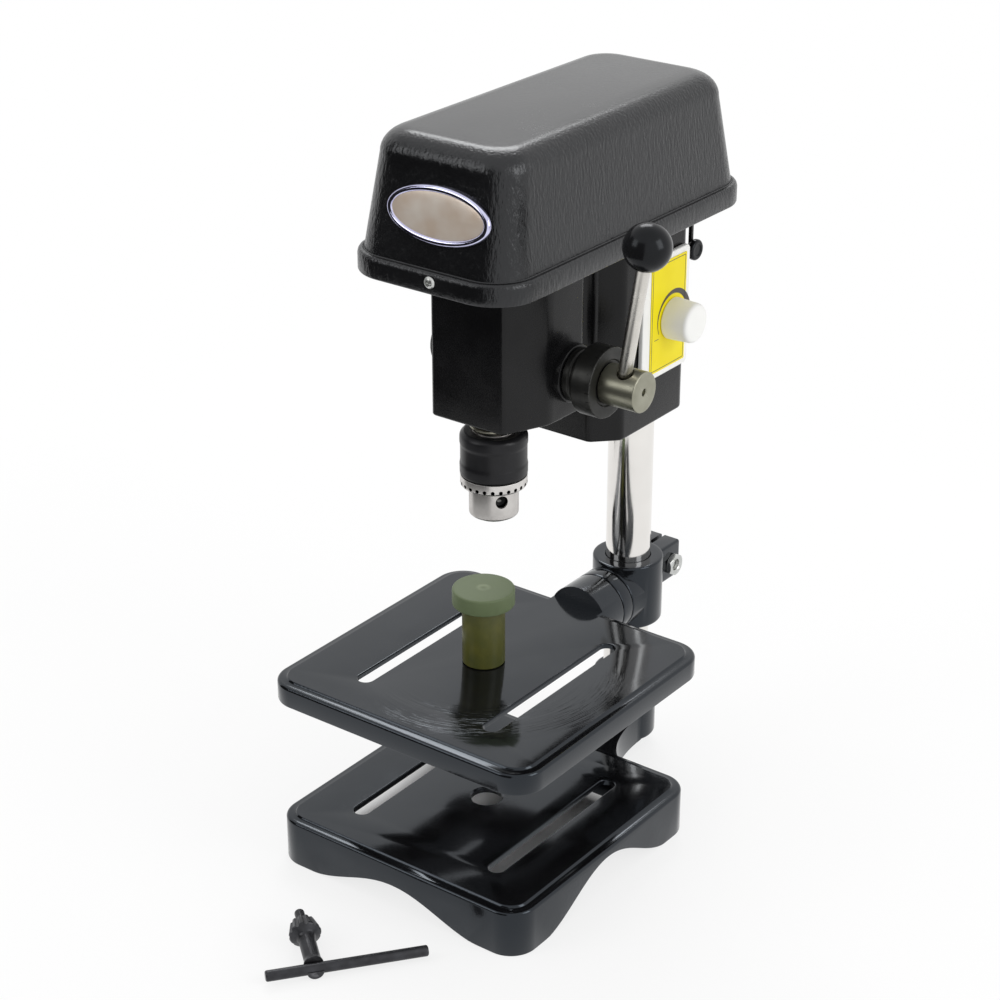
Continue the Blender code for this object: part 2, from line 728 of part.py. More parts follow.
def table_casting(paint):
    """Slotted table with a raised platform and the tilting barrel at its rear edge."""
    bottom = TABLE_TOP - TABLE_THICKNESS
    body = plate_casting("table_casting", TABLE_HALF_WIDTH, TABLE_FRONT, TABLE_REAR, TABLE_CORNER,
                         bottom, TABLE_TOP)
    inner = rounded_outline(TABLE_HALF_WIDTH - TABLE_WALL, TABLE_FRONT + TABLE_WALL,
                            TABLE_REAR - TABLE_WALL, TABLE_CORNER - TABLE_WALL)
    hollow = prism("table_hollow", inner, bottom - OVERRUN, TABLE_TOP - TABLE_PLATE)
    rib = block("table_rib", (-TABLE_RIB_HALF, TABLE_RIB_HALF),
                (TABLE_RIB_FRONT, TABLE_REAR - TABLE_WALL / 2),
                (bottom - TABLE_RIB_DROP, TABLE_TOP - TABLE_PLATE / 2))
    barrel = stand(rod("table_barrel", TILT_RADIUS, TABLE_REAR - TABLE_WALL, BARREL_REAR, "Y",
                       FINE_STEPS, TILT_EDGE), (0, 0, TILT_Z))
    above = block("table_top_clear", (-TILT_RADIUS - OVERRUN, TILT_RADIUS + OVERRUN),
                  (TABLE_REAR - TABLE_WALL - OVERRUN, TABLE_REAR),
                  (TABLE_TOP, TILT_Z + TILT_RADIUS + OVERRUN))
    stud_bore = stand(rod("table_stud_cut", STUD_RADIUS + SLIDE_FIT, STUD_FRONT - GAP,
                          BARREL_REAR + OVERRUN, "Y"), (0, 0, TILT_Z))
    lock_bore = stand(rod("table_lock_cut", SET_SCREW_RADIUS + GAP, TILT_Z - TILT_RADIUS - OVERRUN,
                          TILT_Z), (0, LOCK_SCREW_Y, 0))
    slots = [prism("table_slot_cut", slot_outline(side * TABLE_SLOT_X, TABLE_SLOT_FRONT,
                                                  TABLE_SLOT_REAR, SLOT_WIDTH),
                   bottom - OVERRUN, TABLE_TOP + OVERRUN) for side in (-1, 1)]
    cut(barrel, [above])
    cut(body, [hollow])
    join(body, [rib, barrel])
    cut(body, [stud_bore, lock_bore] + slots)
    body.data.materials.append(paint)
    return body


def tilt_ring(paint):
    """Loose ring between the table barrel and the collar."""
    front = BARREL_REAR + GAP
    inner = STUD_RADIUS + SLIDE_FIT
    item = tube("tilt_ring", [
        (inner, front), (TILT_RADIUS - TILT_EDGE, front), (TILT_RADIUS, front + TILT_EDGE),
        (TILT_RADIUS, RING_REAR - TILT_EDGE), (TILT_RADIUS - TILT_EDGE, RING_REAR),
        (inner, RING_REAR)], FINE_STEPS)
    stand(item, (0, 0, TILT_Z), along_y())
    item.data.materials.append(paint)
    return item


def tilt_stud(steel):
    """Stud that the table turns on."""
    item = stand(rod("tilt_stud", STUD_RADIUS, STUD_FRONT, STUD_REAR, "Y", edge=SET_SCREW_CHAMFER),
                 (0, 0, TILT_Z))
    item.data.materials.append(steel)
    return item


def table_collar(paint):
    """Split collar with two clamping lugs and the boss for the tilting joint."""
    body = turned("table_collar", [
        (COLLAR_RADIUS - COLLAR_EDGE, COLLAR_BOTTOM), (COLLAR_RADIUS, COLLAR_BOTTOM + COLLAR_EDGE),
        (COLLAR_RADIUS, COLLAR_TOP - COLLAR_EDGE / 2),
        (COLLAR_RADIUS - COLLAR_EDGE / 2, COLLAR_TOP)], FINE_STEPS)
    boss = stand(rod("collar_boss", TILT_RADIUS, COLLAR_BOSS_FACE, -COLUMN_RADIUS / 2, "Y",
                     FINE_STEPS), (0, 0, TILT_Z))
    lugs = block("collar_lugs", (-LUG_HALF, LUG_HALF), (COLUMN_RADIUS, LUG_REAR),
                 (LUG_BOTTOM, LUG_TOP), LUG_EDGE)
    bore = rod("collar_bore_cut", COLUMN_RADIUS + SLIDE_FIT, COLLAR_BOTTOM - OVERRUN,
               COLLAR_TOP + OVERRUN, steps=FINE_STEPS)
    slit = block("collar_slit_cut", (-SLIT_WIDTH / 2, SLIT_WIDTH / 2), (0, LUG_REAR + OVERRUN),
                 (COLLAR_BOTTOM - OVERRUN, COLLAR_TOP + OVERRUN))
    bolt_hole = stand(rod("collar_bolt_cut", CLAMP_BOLT_RADIUS + GAP, -LUG_HALF - OVERRUN,
                          LUG_HALF + OVERRUN, "X"), (0, CLAMP_Y, CLAMP_Z))
    stud_hole = stand(rod("collar_stud_cut", STUD_RADIUS + GAP, COLLAR_BOSS_FACE - OVERRUN,
                          0, "Y"), (0, 0, TILT_Z))
    join(body, [boss, lugs])
    cut(body, [bore, slit, bolt_hole, stud_hole])
    body.data.materials.append(paint)
    return body


def clamp_bolt(zinc):
    """Hexagon bolt through the lugs of the collar."""
    head = prism("clamp_bolt", hex_outline(NUT_FLATS), -LUG_HALF - GAP - BOLT_HEAD_THICKNESS,
                 -LUG_HALF - GAP)
    shank = rod("clamp_bolt_shank", CLAMP_BOLT_RADIUS, -LUG_HALF - GAP - BOLT_HEAD_THICKNESS / 2,
                LUG_HALF + NUT_THICKNESS + BOLT_END, edge=SET_SCREW_CHAMFER)
    for part in (head, shank):
        stand(part, (0, CLAMP_Y, CLAMP_Z), along_x())
    join(head, [shank])
    head.data.materials.append(zinc)
    return head


def clamp_nut(zinc):
    """Hexagon nut on the clamp bolt."""
    nut = prism("clamp_nut", hex_outline(NUT_FLATS), LUG_HALF + GAP,
                LUG_HALF + GAP + NUT_THICKNESS, SET_SCREW_CHAMFER)
    bore = rod("clamp_nut_cut", CLAMP_BOLT_RADIUS + GAP, LUG_HALF - OVERRUN,
               LUG_HALF + NUT_THICKNESS + OVERRUN)
    for part in (nut, bore):
        stand(part, (0, CLAMP_Y, CLAMP_Z), along_x())
    cut(nut, [bore])
    nut.data.materials.append(zinc)
    return nut


def housing_outline():
    """Return the plan of the spindle housing and its waisted web."""
    side = [(HOUSING_FACE_HALF, HOUSING_FRONT), (HOUSING_HALF, HOUSING_SHOULDER_Y)]
    for i in range(WEB_STEPS + 1):
        share = i / WEB_STEPS
        x = WEB_HALF + (HOUSING_BULGE_HALF - WEB_HALF) * (1 + math.cos(math.pi * share)) / 2
        side.append((x, HOUSING_BULGE_Y + (WEB_START_Y - HOUSING_BULGE_Y) * share))
    side.append((WEB_HALF, BLOCK_SHOULDER_Y))
    return side + [(-x, y) for x, y in reversed(side)]


def block_outline():
    """Return the plan of the column block."""
    side = [(BLOCK_FACE_HALF, BLOCK_FRONT), (BLOCK_HALF, BLOCK_SHOULDER_Y),
            (BLOCK_HALF, BLOCK_WAIST_Y), (BLOCK_REAR_HALF, BLOCK_REAR)]
    return side + [(-x, y) for x, y in reversed(side)]


def head_casting(paint):
    """Column block and spindle housing in one casting, with its bores and the control pocket."""
    body = prism("head_casting", block_outline(), BLOCK_BOTTOM, HEAD_TOP, CAST_EDGE,
                 upright_edges=True)
    housing = prism("head_housing", housing_outline(), HOUSING_BOTTOM, HEAD_TOP, CAST_EDGE)
    boss = stand(rod("head_feed_boss", FEED_BOSS_RADIUS, -FEED_BOSS_FACE, FEED_BOSS_FACE, "X",
                     FINE_STEPS, TILT_EDGE), (0, FEED_Y, FEED_Z))
    quill_bore = stand(rod("head_quill_cut", QUILL_RADIUS + SLIDE_FIT, HOUSING_BOTTOM - OVERRUN,
                           HEAD_TOP + OVERRUN, steps=FINE_STEPS), (0, SPINDLE_Y, 0))
    bearing_seat = stand(rod("head_bearing_cut", PULLEY_BEARING_OUTER + GAP,
                             PULLEY_BEARING_BOTTOM - GAP, HEAD_TOP + OVERRUN,
                             steps=ROUND_STEPS), (0, SPINDLE_Y, 0))
    feed_bore = stand(rod("head_feed_cut", FEED_BORE_RADIUS, -FEED_BOSS_FACE - OVERRUN,
                          FEED_BOSS_FACE + OVERRUN, "X", ROUND_STEPS), (0, FEED_Y, FEED_Z))
    column_bore = rod("head_column_cut", COLUMN_RADIUS + GAP, BLOCK_BOTTOM - OVERRUN,
                      COLUMN_TOP + GAP, steps=FINE_STEPS)
    pocket = block("head_pocket_cut", (POCKET_FLOOR, BLOCK_HALF + OVERRUN),
                   (POCKET_FRONT, POCKET_REAR), (POCKET_BOTTOM, POCKET_TOP))
    screw_holes = [stand(rod("head_screw_cut", SET_SCREW_RADIUS + GAP, COLUMN_RADIUS / 2,
                             BLOCK_REAR + OVERRUN, "Y"), (0, 0, z))
                   for z in (HEAD_SCREW_LOW_Z, HEAD_SCREW_HIGH_Z)]
    join(body, [housing, boss])
    cut(body, [quill_bore, bearing_seat, feed_bore, column_bore, pocket] + screw_holes)
    body.data.materials.append(paint)
    return body


def plate_outline(front, rear, bottom, top, corner):
    """Return a rounded rectangle in Y and Z, given as XY points for a prism."""
    half = (top - bottom) / 2
    middle = (top + bottom) / 2
    return [(x + middle, y) for x, y in rounded_outline(half, front, rear, corner)]


def upright_plate(name, front, rear, bottom, top, corner, x_low, x_high, edge=0.0):
    """Make a plate that faces +X."""
    item = prism(name, plate_outline(front, rear, bottom, top, corner), x_low, x_high, edge)
    item.data.transform(Matrix(((0, 0, 1, 0), (0, 1, 0, 0), (1, 0, 0, 0), (0, 0, 0, 1))))
    item.data.flip_normals()
    return item


def control_plate(plastic):
    """White cover plate of the speed control."""
    low = BLOCK_HALF + GAP
    item = upright_plate("control_plate", PLATE_FRONT, PLATE_REAR, PLATE_BOTTOM, PLATE_TOP,
                         PLATE_CORNER, low, low + PLATE_THICKNESS, KNOB_EDGE / 3)
    hole = stand(rod("control_plate_cut", DIAL_HOLE_RADIUS, low - OVERRUN,
                     low + PLATE_THICKNESS + OVERRUN, "X"), (0, DIAL_Y, DIAL_Z))
    cut(item, [hole])
    item.data.materials.append(plastic)
    return item


def dial_label(yellow):
    """Yellow scale label on the cover plate."""
    low = BLOCK_HALF + GAP + PLATE_THICKNESS + LABEL_GAP
    item = upright_plate("dial_label", LABEL_FRONT, LABEL_REAR, LABEL_BOTTOM, LABEL_TOP,
                         PLATE_CORNER / 5, low, low + LABEL_THICKNESS)
    hole = stand(rod("dial_label_cut", DIAL_HOLE_RADIUS, low - OVERRUN,
                     low + LABEL_THICKNESS + OVERRUN, "X"), (0, DIAL_Y, DIAL_Z))
    cut(item, [hole])
    item.data.materials.append(yellow)
    return item


def potentiometer(steel):
    """Speed potentiometer behind the plate, without its shaft."""
    face = BLOCK_HALF
    item = rod("potentiometer", POT_RADIUS, face - POT_DEPTH, face)
    bore = rod("potentiometer_cut", POT_SHAFT_RADIUS + SLIDE_FIT, face - POT_DEPTH / 2,
               face + OVERRUN)
    for part in (item, bore):
        stand(part, (0, DIAL_Y, DIAL_Z), along_x())
    cut(item, [bore])
    item.data.materials.append(steel)
    return item


def control_board(green):
    """Circuit board of the speed control in the pocket."""
    low = POCKET_FLOOR + GAP * 2
    item = block("control_board", (low, low + BOARD_THICKNESS),
                 (POCKET_FRONT + BOARD_MARGIN, POCKET_REAR - BOARD_MARGIN),
                 (POCKET_BOTTOM + BOARD_MARGIN, POCKET_TOP - BOARD_MARGIN))
    item.data.materials.append(green)
    return item


def speed_knob(white):
    """White knob with its shaft, turned about X."""
    face = BLOCK_HALF + 2 * GAP + PLATE_THICKNESS + LABEL_GAP + LABEL_THICKNESS
    end = face + KNOB_LENGTH
    item = turned("speed_knob", [
        (POT_SHAFT_RADIUS, BLOCK_HALF - POT_DEPTH / 2 + GAP), (POT_SHAFT_RADIUS, face),
        (KNOB_RADIUS, face), (KNOB_RADIUS, face + KNOB_SKIRT),
        (KNOB_END_RADIUS, face + KNOB_SKIRT + KNOB_EDGE / 2),
        (KNOB_END_RADIUS, end - KNOB_EDGE), (KNOB_END_RADIUS - KNOB_EDGE / 3, end - KNOB_EDGE / 3),
        (KNOB_END_RADIUS - KNOB_EDGE, end)], ROUND_STEPS)
    item.data.transform(along_x())
    item.location = (0, DIAL_Y, DIAL_Z)
    item.data.materials.append(white)
    return item


def gear_loop(z, root, tip, teeth):
    """Return one loop of a spur gear with straight flanks."""
    loop = []
    pitch = 2 * math.pi / teeth
    for i in range(teeth):
        for share, radius in ((-ROOT_SHARE, root), (-TIP_SHARE, tip), (TIP_SHARE, tip),
                              (ROOT_SHARE, root)):
            angle = (i + share) * pitch - math.pi / 2
            loop.append((radius * math.cos(angle), radius * math.sin(angle), z))
    return loop


def pinion_shaft(steel):
    """Feed shaft with its pinion."""
    pitch_radius = PINION_TEETH * MODULE / 2
    tip = pitch_radius + MODULE
    root = pitch_radius - ROOT_DEPTH_SHARE * MODULE
    item = loft("pinion_shaft", [gear_loop(z, root, tip, PINION_TEETH)
                                 for z in (-PINION_HALF, PINION_HALF)])
    shaft = rod("pinion_shaft_bar", FEED_SHAFT_RADIUS, -CUP_END + CUP_WALL + 2 * GAP,
                HUB_BORE_END - GAP, edge=SET_SCREW_CHAMFER)
    join(item, [shaft])
    for part in (item, shaft):
        part.data.transform(along_x())
        part.location = (0, FEED_Y, FEED_Z)
    item.data.materials.append(steel)
    return item


def bush(name, steel, sign, flange_end):
    """Flanged bearing bush of the feed shaft; sign tells the side."""
    inner = FEED_SHAFT_RADIUS + SLIDE_FIT
    outer = FEED_BORE_RADIUS - GAP
    flange = FEED_BOSS_FACE + GAP
    item = tube(name, [
        (inner, BUSH_IN), (outer, BUSH_IN), (outer, flange), (BUSH_FLANGE_RADIUS, flange),
        (BUSH_FLANGE_RADIUS, flange_end - TILT_EDGE), (BUSH_FLANGE_RADIUS - TILT_EDGE, flange_end),
        (inner, flange_end)])
    turn = along_x() if sign > 0 else Matrix.Rotation(-math.pi / 2, 4, "Y")
    stand(item, (0, FEED_Y, FEED_Z), turn)
    item.data.materials.append(steel)
    return item


def stop_ring(steel):
    """Depth stop ring on the sleeve of the hub, with a recess round the hub."""
    inner = HUB_SLEEVE_RADIUS + SLIDE_FIT
    floor = RING_END - RING_RECESS_DEPTH
    item = tube("stop_ring", [
        (inner, RING_START), (RING_RADIUS - RING_EDGE, RING_START),
        (RING_RADIUS, RING_START + RING_EDGE), (RING_RADIUS, RING_END - RING_EDGE),
        (RING_RADIUS - RING_EDGE, RING_END), (RING_RECESS_RADIUS, RING_END),
        (RING_RECESS_RADIUS, floor), (inner, floor)], FINE_STEPS)
    item.data.transform(along_x())
    item.location = (0, FEED_Y, FEED_Z)
    item.data.materials.append(steel)
    return item


def lever_turn():
    """Rotation that leans the Z axis forwards and outwards to the lever's rest."""
    return Matrix.Rotation(LEVER_FORWARD, 4, "X") @ Matrix.Rotation(LEVER_OUTWARD, 4, "Y")


def feed_hub(steel):
    """Hub of the feed lever with the sleeve that carries the stop ring."""
    item = turned("feed_hub", [
        (HUB_SLEEVE_RADIUS, HUB_SLEEVE_START), (HUB_SLEEVE_RADIUS, HUB_START),
        (HUB_RADIUS - HUB_EDGE, HUB_START), (HUB_RADIUS, HUB_START + HUB_EDGE),
        (HUB_RADIUS, HUB_END - HUB_EDGE), (HUB_RADIUS - HUB_EDGE, HUB_END)], FINE_STEPS)
    bore = rod("feed_hub_cut", FEED_SHAFT_RADIUS + GAP, HUB_SLEEVE_START - OVERRUN, HUB_BORE_END)
    centre = turned("feed_hub_centre_cut", [
        (HUB_CENTRE_HOLE / 3, HUB_END - HUB_CENTRE_DEPTH), (HUB_CENTRE_HOLE, HUB_END),
        (HUB_CENTRE_HOLE, HUB_END + OVERRUN)], SMALL_STEPS)
    for part in (item, bore, centre):
        part.data.transform(along_x())
        part.location = (0, FEED_Y, FEED_Z)
    lever_bore = rod("feed_hub_lever_cut", LEVER_ROOT_RADIUS + GAP, LEVER_START - GAP,
                     HUB_RADIUS + LEVER_ROOT_RADIUS + OVERRUN)
    stand(lever_bore, (LEVER_X, 0, 0), lever_turn())
    lever_bore.location = (0, FEED_Y, FEED_Z)
    cut(item, [bore, centre, lever_bore])
    item.data.materials.append(steel)
    return item


def feed_lever(nickel):
    """Tapered lever rod, leaning forwards and outwards at rest."""
    item = turned("feed_lever", [
        (LEVER_ROOT_RADIUS, LEVER_START), (LEVER_ROOT_RADIUS, HUB_RADIUS + LEVER_ROOT_RADIUS),
        (LEVER_TIP_RADIUS, LEVER_LENGTH - BALL_RADIUS),
        (LEVER_TIP_RADIUS, LEVER_LENGTH - BALL_RADIUS + LEVER_IN_BALL)], SMALL_STEPS)
    stand(item, (LEVER_X, 0, 0), lever_turn())
    item.location = (0, FEED_Y, FEED_Z)
    item.data.materials.append(nickel)
    return item


def lever_ball(black):
    """Ball knob on the lever."""
    profile = []
    for i in range(1, BALL_RINGS):
        angle = math.pi * i / BALL_RINGS
        profile.append((BALL_RADIUS * math.sin(angle), LEVER_LENGTH - BALL_RADIUS * math.cos(angle)))
    item = turned("lever_ball", profile, SMALL_STEPS)
    bore = rod("lever_ball_cut", LEVER_TIP_RADIUS + GAP, LEVER_LENGTH - BALL_RADIUS - OVERRUN,
               LEVER_LENGTH - BALL_RADIUS + LEVER_IN_BALL + GAP)
    for part in (item, bore):
        stand(part, (LEVER_X, 0, 0), lever_turn())
        part.location = (0, FEED_Y, FEED_Z)
    cut(item, [bore])
    item.data.materials.append(black)
    return item


def spring_cup(steel):
    """Cup that houses the return spring on the left side."""
    inner = CUP_RADIUS - CUP_WALL
    item = turned("spring_cup", [
        (inner, CUP_END - CUP_WALL), (inner, CUP_START), (CUP_RADIUS, CUP_START),
        (CUP_RADIUS, CUP_END - RING_EDGE), (CUP_RADIUS - RING_EDGE, CUP_END)])
    stand(item, (0, FEED_Y, FEED_Z), Matrix.Rotation(-math.pi / 2, 4, "Y"))
    item.data.materials.append(steel)
    return item


def return_spring(steel):
    """Flat spiral spring between the feed shaft and the cup."""
    outside, inside = [], []
    for i in range(SPRING_POINTS + 1):
        share = i / SPRING_POINTS
        angle = 2 * math.pi * SPRING_TURNS * share
        radius = SPRING_INNER + (SPRING_OUTER - SPRING_INNER) * share
        outside.append(((radius + SPRING_THICKNESS) * math.cos(angle),
                        (radius + SPRING_THICKNESS) * math.sin(angle)))
        inside.append((radius * math.cos(angle), radius * math.sin(angle)))
    item = prism("return_spring", outside + inside[::-1], SPRING_START,
                 SPRING_START + SPRING_WIDTH)
    stand(item, (0, FEED_Y, FEED_Z), Matrix.Rotation(-math.pi / 2, 4, "Y"))
    item.data.materials.append(steel)
    return item


def quill(steel):
    """Quill tube with bearing seats and the rack at its back."""
    seat = BEARING_OUTER + GAP
    low_seat = QUILL_BOTTOM + BEARING_WIDTH + GAP
    high_seat = QUILL_TOP - BEARING_WIDTH - GAP
    item = tube("quill", [
        (seat, QUILL_BOTTOM), (QUILL_RADIUS, QUILL_BOTTOM), (QUILL_RADIUS, QUILL_TOP),
        (seat, QUILL_TOP), (seat, high_seat), (QUILL_BORE, high_seat), (QUILL_BORE, low_seat),
        (seat, low_seat)], FINE_STEPS)
    pitch = math.pi * MODULE
    root = QUILL_RADIUS - RACK_DEPTH_SHARE * MODULE
    outer = QUILL_RADIUS + GAP
    outline = [(FEED_Z - RACK_TEETH * pitch, QUILL_RADIUS + OVERRUN)]
    for i in range(RACK_TEETH):
        middle = FEED_Z + (i - RACK_TEETH_BELOW) * pitch
        for share, depth in ((-RACK_MOUTH_SHARE, outer), (-RACK_FLOOR_SHARE, root),
                             (RACK_FLOOR_SHARE, root), (RACK_MOUTH_SHARE, outer)):
            outline.append((middle + share * pitch, depth))
    outline.append((FEED_Z + RACK_TEETH * pitch, QUILL_RADIUS + OVERRUN))
    rack = prism("quill_rack_cut", outline[::-1], -RACK_HALF_WIDTH, RACK_HALF_WIDTH)
    rack.data.transform(Matrix(((0, 0, 1, 0), (0, 1, 0, 0), (1, 0, 0, 0), (0, 0, 0, 1))))
    rack.data.flip_normals()
    for part in (item, rack):
        part.location = (0, SPINDLE_Y, 0)
    cut(item, [rack])
    item.data.materials.append(steel)
    return item


def nose_nut(steel):
    """Ring nut that closes the lower bearing, with a groove round it."""
    inner = SPINDLE_COLLAR_RADIUS + GAP
    top = QUILL_BOTTOM - GAP
    middle = (NOSE_NUT_BOTTOM + top) / 2
    groove = NOSE_NUT_RADIUS - NOSE_NUT_GROOVE
    item = tube("nose_nut", [
        (inner, NOSE_NUT_BOTTOM), (NOSE_NUT_RADIUS, NOSE_NUT_BOTTOM),
        (NOSE_NUT_RADIUS, middle - NOSE_NUT_GROOVE), (groove, middle - NOSE_NUT_GROOVE / 2),
        (groove, middle + NOSE_NUT_GROOVE / 2), (NOSE_NUT_RADIUS, middle + NOSE_NUT_GROOVE),
        (NOSE_NUT_RADIUS, top), (inner, top)], ROUND_STEPS)
    item.location = (0, SPINDLE_Y, 0)
    item.data.materials.append(steel)
    return item


def bearing(name, steel, bottom, width, outer, inner):
    """Ball bearing as one closed ring with a recess in its upper face."""
    third = (outer - inner) / 3
    floor = bottom + width - BEARING_EDGE
    item = tube(name, [
        (inner, bottom), (outer, bottom), (outer, bottom + width), (outer - third, bottom + width),
        (outer - third, floor), (inner + third, floor), (inner + third, bottom + width),
        (inner, bottom + width)], SMALL_STEPS)
    item.location = (0, SPINDLE_Y, 0)
    item.data.materials.append(steel)
    return item


def spindle(steel):
    """Spindle with the taper that carries the chuck."""
    item = turned("spindle", [
        (TAPER_END_RADIUS, TAPER_END), (TAPER_TOP_RADIUS, SPINDLE_COLLAR_BOTTOM),
        (SPINDLE_COLLAR_RADIUS, SPINDLE_COLLAR_BOTTOM), (SPINDLE_COLLAR_RADIUS, QUILL_BOTTOM - GAP),
        (SPINDLE_RADIUS, QUILL_BOTTOM - GAP), (SPINDLE_RADIUS, SPINDLE_TOP)], SMALL_STEPS)
    item.location = (0, SPINDLE_Y, 0)
    item.data.materials.append(steel)
    return item


def jaw_matrix(index):
    """Pose of a jaw: its axis leans outwards, rising from the nose."""
    around = Matrix.Rotation(KEY_BORE_ANGLE + math.pi / 3 + 2 * math.pi / 3 * index, 4, "Z")
    place = Matrix.Translation((JAW_NOSE_OFFSET, 0, CHUCK_BOTTOM))
    return around @ place @ Matrix.Rotation(JAW_ANGLE, 4, "Y")


def chuck_body(steel):
    """Chuck body with the key bores, the jaw bores and the taper seat."""
    seat_top = TAPER_TOP_RADIUS + SLIDE_FIT
    seat_low = TAPER_END_RADIUS + SLIDE_FIT
    item = tube("chuck_body", [
        (CHUCK_BORE_RADIUS, CHUCK_BOTTOM), (CHUCK_NOSE_RADIUS, CHUCK_BOTTOM),
        (CHUCK_BODY_RADIUS, CHUCK_NOSE_TOP), (CHUCK_BODY_RADIUS, CHUCK_BODY_STEP - CHUCK_EDGE),
        (CHUCK_BODY_RADIUS - CHUCK_EDGE, CHUCK_BODY_STEP - GAP),
        (CHUCK_CORE_RADIUS, CHUCK_BODY_STEP - GAP), (CHUCK_CORE_RADIUS, CHUCK_TOP),
        (seat_top, CHUCK_TOP), (seat_low, TAPER_END - GAP),
        (CHUCK_BORE_RADIUS - CHUCK_EDGE, CHUCK_BORE_TOP)], FINE_STEPS)
    cutters = []
    for index in range(3):
        angle = KEY_BORE_ANGLE + 2 * math.pi / 3 * index
        bore = rod("chuck_key_cut", KEY_BORE_RADIUS, CHUCK_BODY_RADIUS - KEY_BORE_DEPTH,
                   CHUCK_BODY_RADIUS + OVERRUN, "X")
        stand(bore, (0, 0, KEY_BORE_Z), Matrix.Rotation(angle, 4, "Z"))
        hole = rod("chuck_jaw_cut", JAW_HOLE_RADIUS, -OVERRUN * 2, JAW_LENGTH + JAW_TRAVEL)
        hole.data.transform(jaw_matrix(index))
        cutters += [bore, hole]
    for part in [item] + cutters:
        part.location = (0, SPINDLE_Y, 0)
    cut(item, cutters)
    item.data.materials.append(steel)
    return item


def chuck_jaw(index, steel):
    """One hardened jaw, drawn back inside the nose."""
    item = turned("chuck_jaw_" + str(index + 1), [
        (JAW_TIP_RADIUS, JAW_TIP_RISE), (JAW_RADIUS, JAW_TIP_RISE + JAW_TIP_LENGTH),
        (JAW_RADIUS, JAW_TIP_RISE + JAW_LENGTH)], SMALL_STEPS)
    item.data.transform(jaw_matrix(index))
    item.location = (0, SPINDLE_Y, 0)
    item.data.materials.append(steel)
    return item


def chuck_sleeve(black):
    """Toothed sleeve of the chuck."""
    inner = CHUCK_CORE_RADIUS + SLIDE_FIT
    mouth = CHUCK_BODY_RADIUS + SLIDE_FIT
    item = tube("chuck_sleeve", [
        (mouth, SLEEVE_BOTTOM + CHUCK_EDGE), (mouth + CHUCK_EDGE, SLEEVE_BOTTOM),
        (SLEEVE_RING_RADIUS - 2 * CHUCK_EDGE, SLEEVE_BOTTOM),
        (SLEEVE_RING_RADIUS, SLEEVE_BOTTOM + 2 * CHUCK_EDGE),
        (SLEEVE_RING_RADIUS, SLEEVE_TEETH_TOP), (SLEEVE_RADIUS, SLEEVE_TEETH_TOP + CHUCK_EDGE),
        (SLEEVE_RADIUS, SLEEVE_BAND_BOTTOM), (SLEEVE_WAIST_RADIUS, SLEEVE_BAND_BOTTOM + CHUCK_EDGE),
        (SLEEVE_WAIST_RADIUS, SLEEVE_BAND_TOP - CHUCK_EDGE), (SLEEVE_RADIUS, SLEEVE_BAND_TOP),
        (SLEEVE_RADIUS, SLEEVE_TOP - SLEEVE_SHOULDER), (SLEEVE_RADIUS - CHUCK_EDGE * 2,
                                                       SLEEVE_TOP - SLEEVE_SHOULDER / 2),
        (SLEEVE_TOP_RADIUS, SLEEVE_TOP), (inner, SLEEVE_TOP), (inner, SLEEVE_CAVITY_TOP),
        (SLEEVE_CAVITY_RADIUS, SLEEVE_CAVITY_TOP), (SLEEVE_CAVITY_RADIUS, SLEEVE_CAVITY_BOTTOM),
        (mouth, SLEEVE_CAVITY_BOTTOM)], FINE_STEPS)
    cutters = []
    for i in range(SLEEVE_TEETH):
        notch = rod("chuck_notch_cut", TOOTH_NOTCH_RADIUS, SLEEVE_RING_RADIUS - TOOTH_NOTCH_DEPTH,
                    SLEEVE_RING_RADIUS + OVERRUN, "X", NOTCH_STEPS)
        turn = Matrix.Rotation(KEY_BORE_ANGLE + 2 * math.pi * (i + 0.5) / SLEEVE_TEETH, 4, "Z")
        stand(notch, (0, 0, SLEEVE_BOTTOM + TOOTH_NOTCH_HEIGHT), turn)
        cutters.append(notch)
    notches = merged("chuck_notches_cut", cutters)
    for part in (item, notches):
        part.location = (0, SPINDLE_Y, 0)
    cut(item, [notches])
    item.data.materials.append(black)
    return item


def merged(name, parts):
    """Collect separate closed shapes in one cutter."""
    bm = bmesh.new()
    for part in parts:
        bm.from_mesh(part.data)
        bpy.data.objects.remove(part)
    return finish_mesh(bm, name)


def hood_ring(side, front, rear, corner, z, inset=0.0):
    """Return one level of the hood."""
    return at_height(rounded_outline(side - inset, front + inset, rear - inset,
                                     corner - inset), z)


def hood_levels(inset, top):
    """Return the levels of the hood's tapered part up to its rounded top."""
    levels = []
    rise = top - HOOD_RIM_TOP
    start_side = HOOD_HALF_WIDTH - HOOD_RIM_SHELF
    start_front = HOOD_FRONT + HOOD_RIM_SHELF
    start_rear = HOOD_REAR - HOOD_RIM_SHELF
    start_corner = HOOD_CORNER - HOOD_RIM_SHELF
    round_radius = HOOD_TOP_ROUND - inset / 2
    straight_share = 1 - round_radius / rise
    for share in (0.0, straight_share / 3, 2 * straight_share / 3):
        levels.append((share, 0.0, HOOD_RIM_TOP + rise * share))
    for i in range(HOOD_ROUND_STEPS + 1):
        angle = math.pi / 2 * i / HOOD_ROUND_STEPS
        levels.append((straight_share, round_radius * (1 - math.cos(angle)),
                       top - round_radius + round_radius * math.sin(angle)))
    loops = []
    for share, extra, z in levels:
        side = start_side - HOOD_TAPER_SIDE * share - extra - inset
        front = start_front + HOOD_TAPER_FRONT * share + extra + inset
        rear = start_rear - HOOD_TAPER_REAR * share - extra - inset
        corner = start_corner + (HOOD_CORNER_TOP - start_corner) * share - inset
        corner = max(corner, HOOD_WALL) - extra / 2
        loops.append(at_height(rounded_outline(side, front, rear, corner), z))
    return loops


